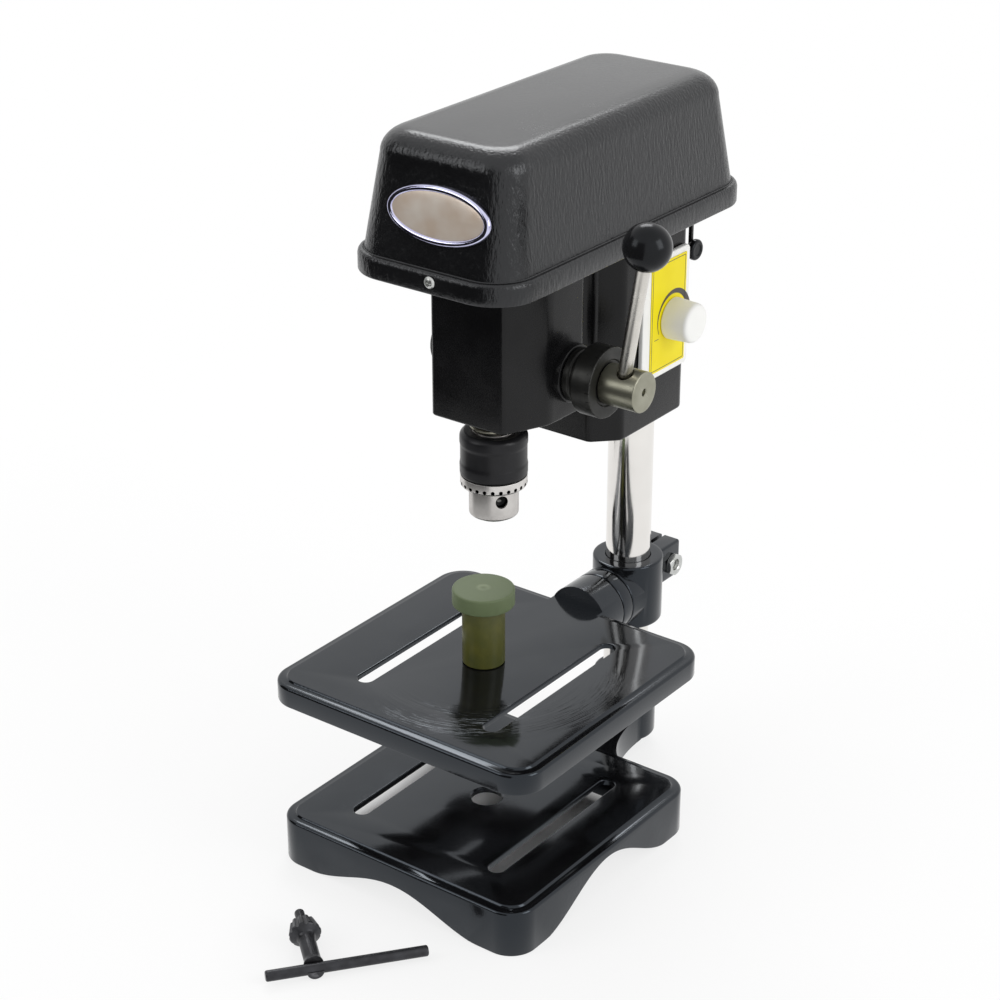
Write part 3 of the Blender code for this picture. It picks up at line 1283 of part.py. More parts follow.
def hood(paint):
    """Tapered hood with its rim, open underneath."""
    inner = hood_levels(HOOD_WALL, HOOD_TOP - HOOD_WALL)[::-1]
    shelf = HOOD_RIM_TOP - HOOD_WALL
    rim_in = [hood_ring(HOOD_HALF_WIDTH, HOOD_FRONT, HOOD_REAR, HOOD_CORNER, z, HOOD_WALL)
              for z in (shelf, HOOD_BOTTOM)]
    rim_out = [hood_ring(HOOD_HALF_WIDTH, HOOD_FRONT, HOOD_REAR, HOOD_CORNER, z, inset)
               for z, inset in ((HOOD_BOTTOM, EDGE_ROUND / 2),
                                (HOOD_BOTTOM + EDGE_ROUND / 2, 0.0),
                                (HOOD_RIM_TOP - HOOD_RIM_ROUND, 0.0),
                                (HOOD_RIM_TOP - HOOD_RIM_ROUND / 3, HOOD_RIM_ROUND / 3),
                                (HOOD_RIM_TOP, HOOD_RIM_ROUND))]
    inner_low = inner[:-1] + [at_height([(x, y) for x, y, _ in inner[-1]], shelf)]
    item = loft("hood", inner_low + rim_in + rim_out + hood_levels(0.0, HOOD_TOP))
    hole = stand(rod("hood_screw_cut", HOOD_SCREW_RADIUS + GAP, HOOD_FRONT - OVERRUN,
                     HOOD_FRONT + HOOD_WALL + OVERRUN, "Y"), (HOOD_SCREW_X, 0, HOOD_SCREW_Z))
    cut(item, [hole])
    item.data.materials.append(paint)
    return item


def hood_screw(nickel):
    """Cross-head screw at the front of the hood rim."""
    face = HOOD_FRONT - GAP
    head = turned("hood_screw", [
        (HOOD_SCREW_HEAD / 2, -HOOD_SCREW_HEAD_THICKNESS),
        (HOOD_SCREW_HEAD - CROSS_WIDTH / 2, -HOOD_SCREW_HEAD_THICKNESS * 2 / 3),
        (HOOD_SCREW_HEAD, 0), (HOOD_SCREW_RADIUS, 0), (HOOD_SCREW_RADIUS, HOOD_SCREW_LENGTH)],
        SMALL_STEPS)
    stand(head, (HOOD_SCREW_X, face, HOOD_SCREW_Z), along_y())
    span = (face - HOOD_SCREW_HEAD_THICKNESS - OVERRUN,
            face - HOOD_SCREW_HEAD_THICKNESS + CROSS_DEPTH)
    bars = []
    for width, height in ((CROSS_LENGTH, CROSS_WIDTH), (CROSS_WIDTH, CROSS_LENGTH)):
        bars.append(block("hood_screw_cut", (HOOD_SCREW_X - width / 2, HOOD_SCREW_X + width / 2), span,
                          (HOOD_SCREW_Z - height / 2, HOOD_SCREW_Z + height / 2)))
    cut(head, bars)
    head.data.materials.append(nickel)
    return head


def ellipse(half_width, half_height, z, steps=ROUND_STEPS):
    """Return an oval loop."""
    turn = 2 * math.pi / steps
    return [(half_width * math.cos(i * turn), half_height * math.sin(i * turn), z)
            for i in range(steps)]


def badge_plate(metal):
    """Blank oval plate with a raised rim on the sloping front of the hood."""
    def ring(inset, z):
        return ellipse(BADGE_HALF_WIDTH - inset, BADGE_HALF_HEIGHT - inset, z)

    item = loft("badge_plate", [
        ring(0.0, 0.0), ring(0.0, BADGE_THICKNESS / 2), ring(BADGE_RIM / 4, BADGE_THICKNESS),
        ring(BADGE_RIM * 3 / 4, BADGE_THICKNESS), ring(BADGE_RIM, BADGE_THICKNESS / 2),
        ring(BADGE_RIM * 2, BADGE_THICKNESS / 2 + BADGE_DOME / 2),
        ring(BADGE_RIM * 4, BADGE_THICKNESS / 2 + BADGE_DOME)])
    slope = math.atan2(HOOD_TAPER_FRONT, HOOD_TOP - HOOD_RIM_TOP)
    share = (BADGE_Z - HOOD_RIM_TOP) / (HOOD_TOP - HOOD_RIM_TOP)
    face = HOOD_FRONT + HOOD_RIM_SHELF + HOOD_TAPER_FRONT * share
    turn = Matrix.Rotation(math.pi / 2 - slope, 4, "X")
    stand(item, (BADGE_X, face - GAP, BADGE_Z), turn)
    item.data.materials.append(metal)
    return item


def deck_tray(steel):
    """Shallow steel tray on top of the casting that carries drive and hood."""
    reach = HOOD_WALL + DECK_SIDE_GAP

    def ring(inset, z):
        return hood_ring(HOOD_HALF_WIDTH, HOOD_FRONT, HOOD_REAR, HOOD_CORNER, z, reach + inset)

    item = loft("deck_tray", [ring(0.0, DECK_BOTTOM), ring(0.0, DECK_TOP), ring(DECK_WALL, DECK_TOP),
                              ring(DECK_WALL, DECK_BOTTOM + DECK_FLOOR)])
    hub_hole = stand(rod("deck_hub_cut", DECK_SPINDLE_HOLE, DECK_BOTTOM - OVERRUN,
                         DECK_TOP + OVERRUN), (0, SPINDLE_Y, 0))
    screw_slot = block("deck_screw_cut",
                       (HOOD_SCREW_X - HOOD_SCREW_RADIUS - GAP, HOOD_SCREW_X + HOOD_SCREW_RADIUS + GAP),
                       (HOOD_FRONT, HOOD_FRONT + reach + DECK_WALL + OVERRUN),
                       (HOOD_SCREW_Z - HOOD_SCREW_RADIUS - GAP, DECK_TOP + OVERRUN))
    tab_hole = block("deck_tab_cut", (TAB_X - DECK_TAB_NOTCH / 2, TAB_X + DECK_TAB_NOTCH / 2),
                     (TAB_Y - DECK_TAB_NOTCH / 2, TAB_Y + DECK_TAB_NOTCH / 2),
                     (DECK_BOTTOM - OVERRUN, DECK_BOTTOM + DECK_FLOOR + OVERRUN))
    cut(item, [hub_hole, screw_slot, tab_hole])
    item.data.materials.append(steel)
    return item


def groove_profile(radius, groove, bottom, top, hub_radius):
    """Return the outer profile of a pulley with a V groove, from bottom to top."""
    middle = (bottom + top) / 2
    flat = BELT_WIDTH / 2 + GAP
    return [(hub_radius, bottom), (radius, bottom), (radius, bottom + PULLEY_RIM),
            (groove, middle - flat), (groove, middle + flat), (radius, top - PULLEY_RIM),
            (radius, top)]


def spindle_pulley(alloy):
    """Pulley on a long sleeve that the spindle slides in."""
    item = tube("spindle_pulley", [(PULLEY_BORE, PULLEY_HUB_BOTTOM),
                                   (PULLEY_HUB_RADIUS, PULLEY_HUB_BOTTOM)] + groove_profile(
        PULLEY_RADIUS, PULLEY_GROOVE, PULLEY_BOTTOM, PULLEY_TOP, PULLEY_HUB_RADIUS) + [
        (PULLEY_BORE, PULLEY_TOP)], SMALL_STEPS)
    item.location = (0, SPINDLE_Y, 0)
    item.data.materials.append(alloy)
    return item


def motor_pulley(alloy):
    """Small pulley on the motor shaft."""
    bore = MOTOR_SHAFT_RADIUS + GAP
    item = tube("motor_pulley", [(bore, PULLEY_BOTTOM)] + groove_profile(
        MOTOR_PULLEY_RADIUS, MOTOR_PULLEY_GROOVE, PULLEY_BOTTOM, PULLEY_TOP, bore + GAP) + [
        (bore, PULLEY_TOP)], SMALL_STEPS)
    item.location = (0, MOTOR_Y, 0)
    item.data.materials.append(alloy)
    return item


def motor_shell(steel):
    """Can of the motor, open underneath towards its plate."""
    inner = MOTOR_RADIUS - MOTOR_WALL
    ceiling = MOTOR_TOP - MOTOR_WALL
    item = tube("motor_shell", [
        (inner, MOTOR_BOTTOM), (MOTOR_RADIUS, MOTOR_BOTTOM), (MOTOR_RADIUS, MOTOR_TOP - MOTOR_EDGE),
        (MOTOR_RADIUS - MOTOR_EDGE, MOTOR_TOP), (MOTOR_BOSS_RADIUS, MOTOR_TOP),
        (MOTOR_BOSS_RADIUS, MOTOR_BOSS_TOP), (MOTOR_BORE, MOTOR_BOSS_TOP), (MOTOR_BORE, ceiling),
        (inner, ceiling)], ROUND_STEPS)
    item.location = (0, MOTOR_Y, 0)
    item.data.materials.append(steel)
    return item


def motor_rotor(steel):
    """Rotor and shaft of the motor."""
    item = turned("motor_rotor", [
        (MOTOR_SHAFT_RADIUS, MOTOR_BOTTOM + 2 * GAP), (MOTOR_SHAFT_RADIUS, MOTOR_ROTOR_BOTTOM),
        (MOTOR_ROTOR_RADIUS, MOTOR_ROTOR_BOTTOM), (MOTOR_ROTOR_RADIUS, MOTOR_ROTOR_TOP),
        (MOTOR_SHAFT_RADIUS, MOTOR_ROTOR_TOP), (MOTOR_SHAFT_RADIUS, MOTOR_SHAFT_TOP)], SMALL_STEPS)
    item.location = (0, MOTOR_Y, 0)
    item.data.materials.append(steel)
    return item


def motor_plate(steel):
    """Plate under the motor with the tab that reaches down to the tension knob."""
    bottom = DECK_BOTTOM + DECK_FLOOR + GAP
    top = bottom + MOTOR_PLATE_THICKNESS
    item = prism("motor_plate", rounded_outline(MOTOR_PLATE_HALF, MOTOR_Y - MOTOR_PLATE_HALF,
                                                TAB_Y + TAB_THICKNESS / 2, PLATE_CORNER),
                 bottom, top)
    tab = block("motor_plate_tab", (TAB_X - TAB_WIDTH / 2, TAB_X + TAB_WIDTH / 2),
                (TAB_Y - TAB_THICKNESS / 2, TAB_Y + TAB_THICKNESS / 2), (TAB_BOTTOM, top - GAP))
    stud = stand(rod("motor_plate_stud", TENSION_STUD_RADIUS, 0,
                     TAB_WIDTH / 2 + TENSION_KNOB_BORE, "X", NOTCH_STEPS * 2),
                 (TAB_X, TAB_Y, TENSION_Z))
    join(item, [tab, stud])
    item.data.materials.append(steel)
    return item


def tension_knob(black):
    """Round clamping knob of the belt tension, turned about X."""
    start = TAB_WIDTH / 2 + GAP
    end = start + TENSION_KNOB_LENGTH
    item = turned("tension_knob", [
        (TENSION_KNOB_RADIUS - TENSION_KNOB_EDGE, start),
        (TENSION_KNOB_RADIUS, start + TENSION_KNOB_EDGE),
        (TENSION_KNOB_RADIUS, end - TENSION_KNOB_EDGE),
        (TENSION_KNOB_RADIUS - TENSION_KNOB_EDGE, end)], ROUND_STEPS)
    bore = rod("tension_knob_cut", TENSION_STUD_RADIUS + SLIDE_FIT, start - OVERRUN,
               start + TENSION_KNOB_BORE, steps=NOTCH_STEPS * 2)
    for part in (item, bore):
        part.data.transform(along_x())
        part.location = (TAB_X, TAB_Y, TENSION_Z)
    cut(item, [bore])
    item.data.materials.append(black)
    return item


def belt_outline(spindle_radius, motor_radius):
    """Return the loop of two arcs and two straights round both pulleys."""
    distance = MOTOR_Y - SPINDLE_Y
    lean = math.asin((spindle_radius - motor_radius) / distance)
    points = []
    for i in range(BELT_STEPS + 1):
        angle = math.pi - lean + (math.pi + 2 * lean) * i / BELT_STEPS
        points.append((spindle_radius * math.cos(angle),
                       SPINDLE_Y + spindle_radius * math.sin(angle)))
    for i in range(BELT_STEPS + 1):
        angle = lean + (math.pi - 2 * lean) * i / BELT_STEPS
        points.append((motor_radius * math.cos(angle), MOTOR_Y + motor_radius * math.sin(angle)))
    return points


def drive_belt(rubber):
    """Flat-sided belt in the pulley grooves."""
    outer = belt_outline(PULLEY_GROOVE + GAP + BELT_THICKNESS,
                         MOTOR_PULLEY_GROOVE + GAP + BELT_THICKNESS)
    inner = belt_outline(PULLEY_GROOVE + GAP, MOTOR_PULLEY_GROOVE + GAP)
    top = BELT_BOTTOM + BELT_WIDTH
    item = loft("drive_belt", [at_height(inner, BELT_BOTTOM), at_height(outer, BELT_BOTTOM),
                               at_height(outer, top), at_height(inner, top)], closed=True)
    item.data.materials.append(rubber)
    return item


def rest_post_stem(olive):
    """Stem of the rest post with the spigot that holds its head."""
    item = turned("rest_post_stem", [
        (POST_STEM_RADIUS - POST_EDGE, TABLE_TOP + GAP),
        (POST_STEM_RADIUS, TABLE_TOP + GAP + POST_EDGE), (POST_STEM_RADIUS, POST_STEM_TOP),
        (POST_SPIGOT_RADIUS, POST_STEM_TOP),
        (POST_SPIGOT_RADIUS, POST_STEM_TOP + POST_SPIGOT_DEPTH)], ROUND_STEPS)
    item.location = (POST_X, POST_Y, 0)
    item.data.materials.append(olive)
    return item


def rest_post_head(olive):
    """Flat round head of the rest post."""
    bottom = POST_STEM_TOP + GAP
    item = turned("rest_post_head", [
        (POST_HEAD_RADIUS - POST_EDGE, bottom), (POST_HEAD_RADIUS, bottom + POST_EDGE),
        (POST_HEAD_RADIUS, POST_HEAD_TOP - POST_EDGE),
        (POST_HEAD_RADIUS - POST_EDGE, POST_HEAD_TOP)], FINE_STEPS)
    bore = rod("rest_post_cut", POST_SPIGOT_RADIUS + GAP, bottom - OVERRUN,
               POST_STEM_TOP + POST_SPIGOT_DEPTH + GAP)
    for part in (item, bore):
        part.location = (POST_X, POST_Y, 0)
    cut(item, [bore])
    item.data.materials.append(olive)
    return item


def key_frame():
    """Pose of the chuck key: local Z runs along the shank, local X along the bar."""
    drop = KEY_GEAR_BACK_RADIUS - KEY_SHANK_RADIUS
    lift = math.asin(drop / (KEY_GEAR_START + KEY_SHANK_BACK))
    height = KEY_SHANK_RADIUS + KEY_SHANK_BACK * math.sin(lift) + FLOOR_GAP
    heading = Matrix.Rotation(KEY_HEADING, 4, "Z")
    lay = Matrix.Rotation(-math.pi / 2 + lift, 4, "X")
    return Matrix.Translation((KEY_CROSS_X, KEY_CROSS_Y, height)) @ heading @ lay


def key_shank(black):
    """Geared shank of the chuck key."""
    item = turned("key_shank", [
        (KEY_SHANK_RADIUS - KEY_EDGE, -KEY_SHANK_BACK), (KEY_SHANK_RADIUS, KEY_EDGE - KEY_SHANK_BACK),
        (KEY_SHANK_RADIUS, KEY_GEAR_START - KEY_EDGE * 2),
        (KEY_GEAR_BACK_RADIUS - KEY_EDGE * 2, KEY_GEAR_START - KEY_EDGE * 2),
        (KEY_GEAR_BACK_RADIUS, KEY_GEAR_START), (KEY_GEAR_FRONT_RADIUS, KEY_GEAR_END),
        (KEY_PILOT_RADIUS, KEY_GEAR_END), (KEY_PILOT_RADIUS, KEY_PILOT_END - KEY_EDGE),
        (KEY_PILOT_RADIUS - KEY_EDGE, KEY_PILOT_END)], ROUND_STEPS)
    cutters = []
    for i in range(KEY_GEAR_TEETH):
        notch = rod("key_notch_cut", KEY_NOTCH_RADIUS, KEY_GEAR_START - KEY_GEAR_FRONT_RADIUS / 4,
                    KEY_GEAR_END + OVERRUN, steps=NOTCH_STEPS)
        radius = KEY_GEAR_BACK_RADIUS
        angle = 2 * math.pi * (i + 1 / 3) / KEY_GEAR_TEETH
        stand(notch, (radius * math.cos(angle), radius * math.sin(angle), 0))
        cutters.append(notch)
    notches = merged("key_notches_cut", cutters)
    bar_hole = rod("key_bar_cut", KEY_BAR_RADIUS + SLIDE_FIT, -KEY_SHANK_RADIUS - OVERRUN,
                   KEY_SHANK_RADIUS + OVERRUN, "X")
    for part in (item, notches, bar_hole):
        part.matrix_world = key_frame()
    cut(item, [notches, bar_hole])
    item.data.materials.append(black)
    return item


def key_bar(black):
    """Sliding bar of the chuck key."""
    half = KEY_BAR_LENGTH / 2
    item = rod("key_bar", KEY_BAR_RADIUS, KEY_BAR_SHIFT - half, KEY_BAR_SHIFT + half, "X",
               edge=KEY_EDGE)
    item.matrix_world = key_frame()
    item.data.materials.append(black)
    return item


def main():
    """Clear the scene and build every piece."""
    for old in list(bpy.data.objects):
        bpy.data.objects.remove(old)
    cast = material("black_cast_paint", (0.012, 0.012, 0.014), 0.18, 0.0)
    ripple = material("black_ripple_paint", (0.016, 0.016, 0.018), 0.35, 0.0)
    chrome = material("polished_chrome", (0.80, 0.79, 0.77), 0.08, 1.0)
    bright = material("bright_steel", (0.66, 0.65, 0.62), 0.28, 1.0)
    zinc = material("zinc_steel", (0.70, 0.71, 0.70), 0.35, 1.0)
    hub_steel = material("turned_steel", (0.30, 0.30, 0.24), 0.42, 1.0)
    dark = material("dark_steel", (0.045, 0.045, 0.042), 0.45, 0.9)
    nickel = material("satin_nickel", (0.62, 0.60, 0.56), 0.30, 1.0)
    black_oxide = material("black_oxide", (0.030, 0.030, 0.032), 0.38, 0.6)
    gloss_black = material("gloss_black_plastic", (0.006, 0.006, 0.007), 0.10, 0.0)
    white = material("white_plastic", (0.86, 0.86, 0.84), 0.45, 0.0)
    yellow = material("yellow_label", (0.92, 0.72, 0.02), 0.40, 0.0)
    board = material("green_board", (0.03, 0.20, 0.08), 0.50, 0.0)
    alloy = material("alloy", (0.58, 0.59, 0.60), 0.40, 1.0)
    rubber = material("belt_rubber", (0.02, 0.02, 0.02), 0.80, 0.0)
    stem_olive = material("olive_stem", (0.16, 0.15, 0.035), 0.45, 0.0)
    head_olive = material("olive_head", (0.14, 0.19, 0.10), 0.40, 0.0)
    badge = material("badge_metal", (0.62, 0.55, 0.47), 0.25, 0.8)

    base_casting(cast)
    column(chrome)
    set_screw("column_set_screw", dark, COLUMN_RADIUS + GAP, SOCKET_RADIUS - GAP, along_y(),
              (0, 0, SOCKET_SCREW_Z))
    table_casting(cast)
    tilt_ring(cast)
    tilt_stud(bright)
    set_screw("tilt_lock_screw", dark, STUD_RADIUS + GAP, TILT_RADIUS - GAP,
              Matrix.Rotation(math.pi, 4, "X"), (0, LOCK_SCREW_Y, TILT_Z))
    table_collar(cast)
    clamp_bolt(zinc)
    clamp_nut(zinc)
    head_casting(cast)
    for name, z in (("head_screw_lower", HEAD_SCREW_LOW_Z), ("head_screw_upper", HEAD_SCREW_HIGH_Z)):
        set_screw(name, dark, COLUMN_RADIUS + GAP, BLOCK_REAR - GAP, along_y(), (0, 0, z))
    control_plate(white)
    dial_label(yellow)
    potentiometer(zinc)
    control_board(board)
    speed_knob(white)
    pinion_shaft(bright)
    bush("pinion_bush", dark, 1, BUSH_FLANGE_END)
    bush("pinion_bush_left", dark, -1, LEFT_BUSH_END)
    stop_ring(dark)
    feed_hub(hub_steel)
    feed_lever(nickel)
    lever_ball(gloss_black)
    spring_cup(dark)
    return_spring(bright)
    quill(bright)
    nose_nut(bright)
    bearing("lower_bearing", bright, QUILL_BOTTOM + GAP, BEARING_WIDTH, BEARING_OUTER,
            BEARING_INNER)
    bearing("upper_bearing", bright, QUILL_TOP - BEARING_WIDTH - GAP / 2, BEARING_WIDTH,
            BEARING_OUTER, BEARING_INNER)
    spindle(bright)
    chuck_body(bright)
    for index in range(3):
        chuck_jaw(index, bright)
    chuck_sleeve(black_oxide)
    hood(ripple)
    hood_screw(nickel)
    badge_plate(badge)
    deck_tray(dark)
    bearing("pulley_bearing", bright, PULLEY_BEARING_BOTTOM, HEAD_TOP - PULLEY_BEARING_BOTTOM - GAP,
            PULLEY_BEARING_OUTER, PULLEY_BEARING_INNER)
    spindle_pulley(alloy)
    motor_shell(dark)
    motor_rotor(bright)
    motor_pulley(alloy)
    motor_plate(dark)
    tension_knob(gloss_black)
    drive_belt(rubber)
    rest_post_stem(stem_olive)
    rest_post_head(head_olive)
    key_shank(black_oxide)
    key_bar(black_oxide)
    for item in bpy.context.scene.objects:
        item.location.x += ORIGIN_SHIFT_X
        item.location.y += ORIGIN_SHIFT_Y


main()
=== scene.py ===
"""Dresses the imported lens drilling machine: meshes, procedural finishes, studio and camera.

Shapes are drawn in millimetres, with the column on the Z axis, and scaled and moved once when they
are placed. The operator's side is -Y; the feed lever and the speed control are on +X.
"""

import logging  # noqa: E402
import math  # noqa: E402
from dataclasses import dataclass, field  # noqa: E402
from enum import Enum  # noqa: E402
from typing import Iterable, Optional, Sequence  # noqa: E402

import bmesh  # noqa: E402
import bpy  # noqa: E402
from mathutils import Matrix, Vector  # noqa: E402


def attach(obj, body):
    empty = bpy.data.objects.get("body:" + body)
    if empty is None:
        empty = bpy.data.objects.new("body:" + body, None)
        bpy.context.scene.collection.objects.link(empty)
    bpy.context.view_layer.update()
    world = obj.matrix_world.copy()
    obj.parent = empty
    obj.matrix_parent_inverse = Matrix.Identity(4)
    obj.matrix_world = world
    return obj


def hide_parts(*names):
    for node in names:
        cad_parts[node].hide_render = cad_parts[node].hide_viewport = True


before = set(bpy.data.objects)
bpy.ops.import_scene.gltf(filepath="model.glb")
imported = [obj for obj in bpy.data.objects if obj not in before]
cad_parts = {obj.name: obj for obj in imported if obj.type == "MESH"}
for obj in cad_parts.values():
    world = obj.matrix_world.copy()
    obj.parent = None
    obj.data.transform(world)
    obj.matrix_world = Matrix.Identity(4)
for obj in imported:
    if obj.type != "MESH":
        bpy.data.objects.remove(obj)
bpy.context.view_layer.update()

LOG = logging.getLogger("lens_drill")
MM = 0.001
COLUMN_X = -14.15
COLUMN_Y = 134.2
SPINDLE_Y = -126.5
FEED_Y = -107.0
FEED_Z = 276.5
LEVER_X = 64.8
KEY_BORE_TURN = math.radians(-34.2)
OVERRUN = 3.0
SLIVER = 0.001
ON_AXIS = 1e-3
WELD = 1e-5
LEAST_ROUNDING = 1e-4
EDGE_SHARE = 0.49

Point = tuple[float, float, float]
Outline = list[tuple[float, float]]


class Axis(Enum):
    """Direction that a turned piece's own Z axis is laid along."""

    X = "X"
    LEFT = "LEFT"
    Y = "Y"
    Z = "Z"

    def matrix(self) -> Matrix:
        """Return the rotation from +Z to this direction."""
        turns = {Axis.X: (math.pi / 2, "Y"), Axis.LEFT: (-math.pi / 2, "Y"),
                 Axis.Y: (-math.pi / 2, "X"), Axis.Z: (0.0, "Z")}
        angle, about = turns[self]
        return Matrix.Rotation(angle, 4, about)


class Cut(Enum):
    """Boolean operations between two meshes."""

    AWAY = "DIFFERENCE"
    JOIN = "UNION"
    SHARED = "INTERSECT"


class Spoke(Enum):
    """Shapes that a ring pattern repeats."""

    ROUND = "round"
    BAR = "bar"


# Meshes


def to_object(bm: bmesh.types.BMesh, name: str, sharp: float = 30.0) -> bpy.types.Object:
    """Make a smooth-shaded object from a bmesh.

    Args:
        bm: The shape; it is freed.
        name: Name of the new object.
        sharp: Angle in degrees from which an edge stays sharp.

    Returns:
        The linked object.
    """
    mesh = bpy.data.meshes.new(name)
    bm.to_mesh(mesh)
    bm.free()
    mesh.shade_smooth()
    mesh.set_sharp_from_angle(angle=math.radians(sharp))
    item = bpy.data.objects.new(name, mesh)
    bpy.context.scene.collection.objects.link(item)
    return item


def softened(points: Sequence[Sequence[float]], radius: float, steps: int = 4,
             closed: bool = False) -> Outline:
    """Round the corners of a line of points.

    Args:
        points: (a, b) or (a, b, own radius) for each corner.
        radius: Reach of the rounding along each edge where a point has none of its own.
        steps: Segments of each rounding.
        closed: Whether the last point joins the first.

    Returns:
        The rounded line.
    """
    count = len(points)
    line: Outline = []
    for i, point in enumerate(points):
        here = Vector(point[:2])
        if not closed and i in (0, count - 1):
            line.append((here.x, here.y))
            continue
        before = Vector(points[i - 1][:2]) - here
        after = Vector(points[(i + 1) % count][:2]) - here
        reach = point[2] if len(point) > 2 else radius
        reach = min(reach, before.length * EDGE_SHARE, after.length * EDGE_SHARE)
        if reach < LEAST_ROUNDING:
            line.append((here.x, here.y))
            continue
        start = here + before.normalized() * reach
        end = here + after.normalized() * reach
        for k in range(steps + 1):
            t = k / steps
            spot = start * (1 - t) ** 2 + here * 2 * t * (1 - t) + end * t ** 2
            line.append((spot.x, spot.y))
    return line


def loft(name: str, loops: Sequence[Sequence[Point]], closed: bool = False,
         sharp: float = 30.0) -> bpy.types.Object:
    """Skin a stack of loops with equal counts.

    Args:
        name: Name of the new object.
        loops: The loops, in order.
        closed: Whether the last loop joins the first; otherwise both ends are capped.
        sharp: Angle in degrees from which an edge stays sharp.

    Returns:
        The closed shape.
    """
    bm = bmesh.new()
    rings = [[bm.verts.new(p) for p in loop] for loop in loops]
    pairs = list(zip(rings, rings[1:])) + ([(rings[-1], rings[0])] if closed else [])
    for low, high in pairs:
        for i in range(len(low)):
            j = (i + 1) % len(low)
            bm.faces.new((low[i], low[j], high[j], high[i]))
    if not closed:
        bm.faces.new(rings[0][::-1])
        bm.faces.new(rings[-1])
    bmesh.ops.remove_doubles(bm, verts=bm.verts, dist=WELD)
    bmesh.ops.recalc_face_normals(bm, faces=bm.faces)
    return to_object(bm, name, sharp)


def ringed(line: Outline, closed: bool, widest: float = 2.6) -> Outline:
    """Split the long flat stretches of a profile, so that no face runs far towards the axis.

    Args:
        line: (radius, height) points.
        closed: Whether the last point joins the first.
        widest: Greatest change of radius between two points.

    Returns:
        The profile with its added points.
    """
    following = line[1:] + ([line[0]] if closed else [])
    result: Outline = []
    for here, there in zip(line, following):
        pieces = max(1, math.ceil(abs(there[0] - here[0]) / widest))
        result += [(here[0] + (there[0] - here[0]) * k / pieces,
                    here[1] + (there[1] - here[1]) * k / pieces) for k in range(pieces)]
    return result if closed else result + [line[-1]]


def lathe(name: str, points: Sequence[Sequence[float]], radius: float = 0.4, steps: int = 96,
          axis: Axis = Axis.Z, place: Point = (0.0, 0.0, 0.0), ring: bool = False
          ) -> bpy.types.Object:
    """Turn a profile about an axis.

    Args:
        name: Name of the new object.
        points: (radius, height) corners, each with its own rounding if it has a third number.
        radius: Rounding of the corners.
        steps: Segments round the axis.
        axis: Direction of the turned axis.
        place: Point on the axis with height zero.
        ring: Whether the profile is a closed outline round a hole.

    Returns:
        The turned shape.
    """
    line = softened(points, radius, closed=ring)
    if not ring:
        line = ([(ON_AXIS, line[0][1])] if line[0][0] > ON_AXIS else []) + line
        line = line + ([(ON_AXIS, line[-1][1])] if line[-1][0] > ON_AXIS else [])
    line = ringed(line, ring)
    turn = 2 * math.pi / steps
    loops = [[(max(r, ON_AXIS) * math.cos(i * turn), max(r, ON_AXIS) * math.sin(i * turn), z)
              for i in range(steps)] for r, z in line]
    item = loft(name, loops, closed=ring)
    item.data.transform(Matrix.Translation(place) @ axis.matrix())
    return item


def prism(name: str, outline: Outline, low: float, high: float, edge: float = 0.0,
          segments: int = 3, sharp: float = 30.0) -> bpy.types.Object:
    """Extrude a plan outline upwards and round its edges.

    Args:
        name: Name of the new object.
        outline: Corners in the XY plane.
        low: Bottom height.
        high: Top height.
        edge: Width of the rounding of every edge that bends more than 20 degrees.
        segments: Segments of the rounding.
        sharp: Angle in degrees from which an edge stays sharp.

    Returns:
        The closed prism.
    """
    bm = bmesh.new()
    face = bm.faces.new([bm.verts.new((x, y, low)) for x, y in outline])
    grown = bmesh.ops.extrude_face_region(bm, geom=[face])
    top = [v for v in grown["geom"] if isinstance(v, bmesh.types.BMVert)]
    bmesh.ops.translate(bm, verts=top, vec=(0, 0, high - low))
    bmesh.ops.recalc_face_normals(bm, faces=bm.faces)
    if edge > 0:
        bent = [e for e in bm.edges if e.calc_face_angle(0) > math.radians(20)]
        bmesh.ops.bevel(bm, geom=bent, offset=edge, segments=segments, profile=0.5,
                        affect="EDGES", clamp_overlap=True)
    return to_object(bm, name, sharp)


def box(name: str, low: Point, high: Point, edge: float = 0.0, segments: int = 3
        ) -> bpy.types.Object:
    """Make a box between two corners, with rounded edges if asked."""
    outline = [(low[0], low[1]), (high[0], low[1]), (high[0], high[1]), (low[0], high[1])]
    return prism(name, outline, low[2], high[2], edge, segments)


def rectangle(half: float, front: float, rear: float, corner: float, steps: int = 16) -> Outline:
    """Return a rounded rectangle that is symmetric about X = 0."""
    points: Outline = []
    for x, y, start in ((half - corner, front + corner, -90), (half - corner, rear - corner, 0),
                        (corner - half, rear - corner, 90), (corner - half, front + corner, 180)):
        for i in range(steps + 1):
            angle = math.radians(start + 90 * i / steps)
            points.append((x + corner * math.cos(angle), y + corner * math.sin(angle)))
    return points


def lifted(outline: Outline, z: float) -> list[Point]:
    """Put an outline at a height."""
    return [(x, y, z) for x, y in outline]


def slot_cutter(x: float, front: float, rear: float, width: float, low: float, high: float,
                lip: float) -> bpy.types.Object:
    """Return a cutter for a slot along Y whose upper edge flares into a small lip."""
    def ring(grow: float, z: float) -> list[Point]:
        half = width / 2 + grow
        return [(x + half * math.cos(a), y + half * math.sin(a), z)
                for y, first in ((rear - width / 2, 0.0), (front + width / 2, 180.0))
                for a in (math.radians(first + 180 * k / 14) for k in range(15))]

    levels = [ring(0.0, low - OVERRUN), ring(0.0, high - lip)]
    levels += [ring(lip * (1 - math.cos(a)), high - lip + lip * math.sin(a))
               for a in (math.radians(v) for v in (25, 50, 75))]
    levels += [ring(lip, high), ring(lip, high + OVERRUN)]
    return loft("slot_cutter", levels)


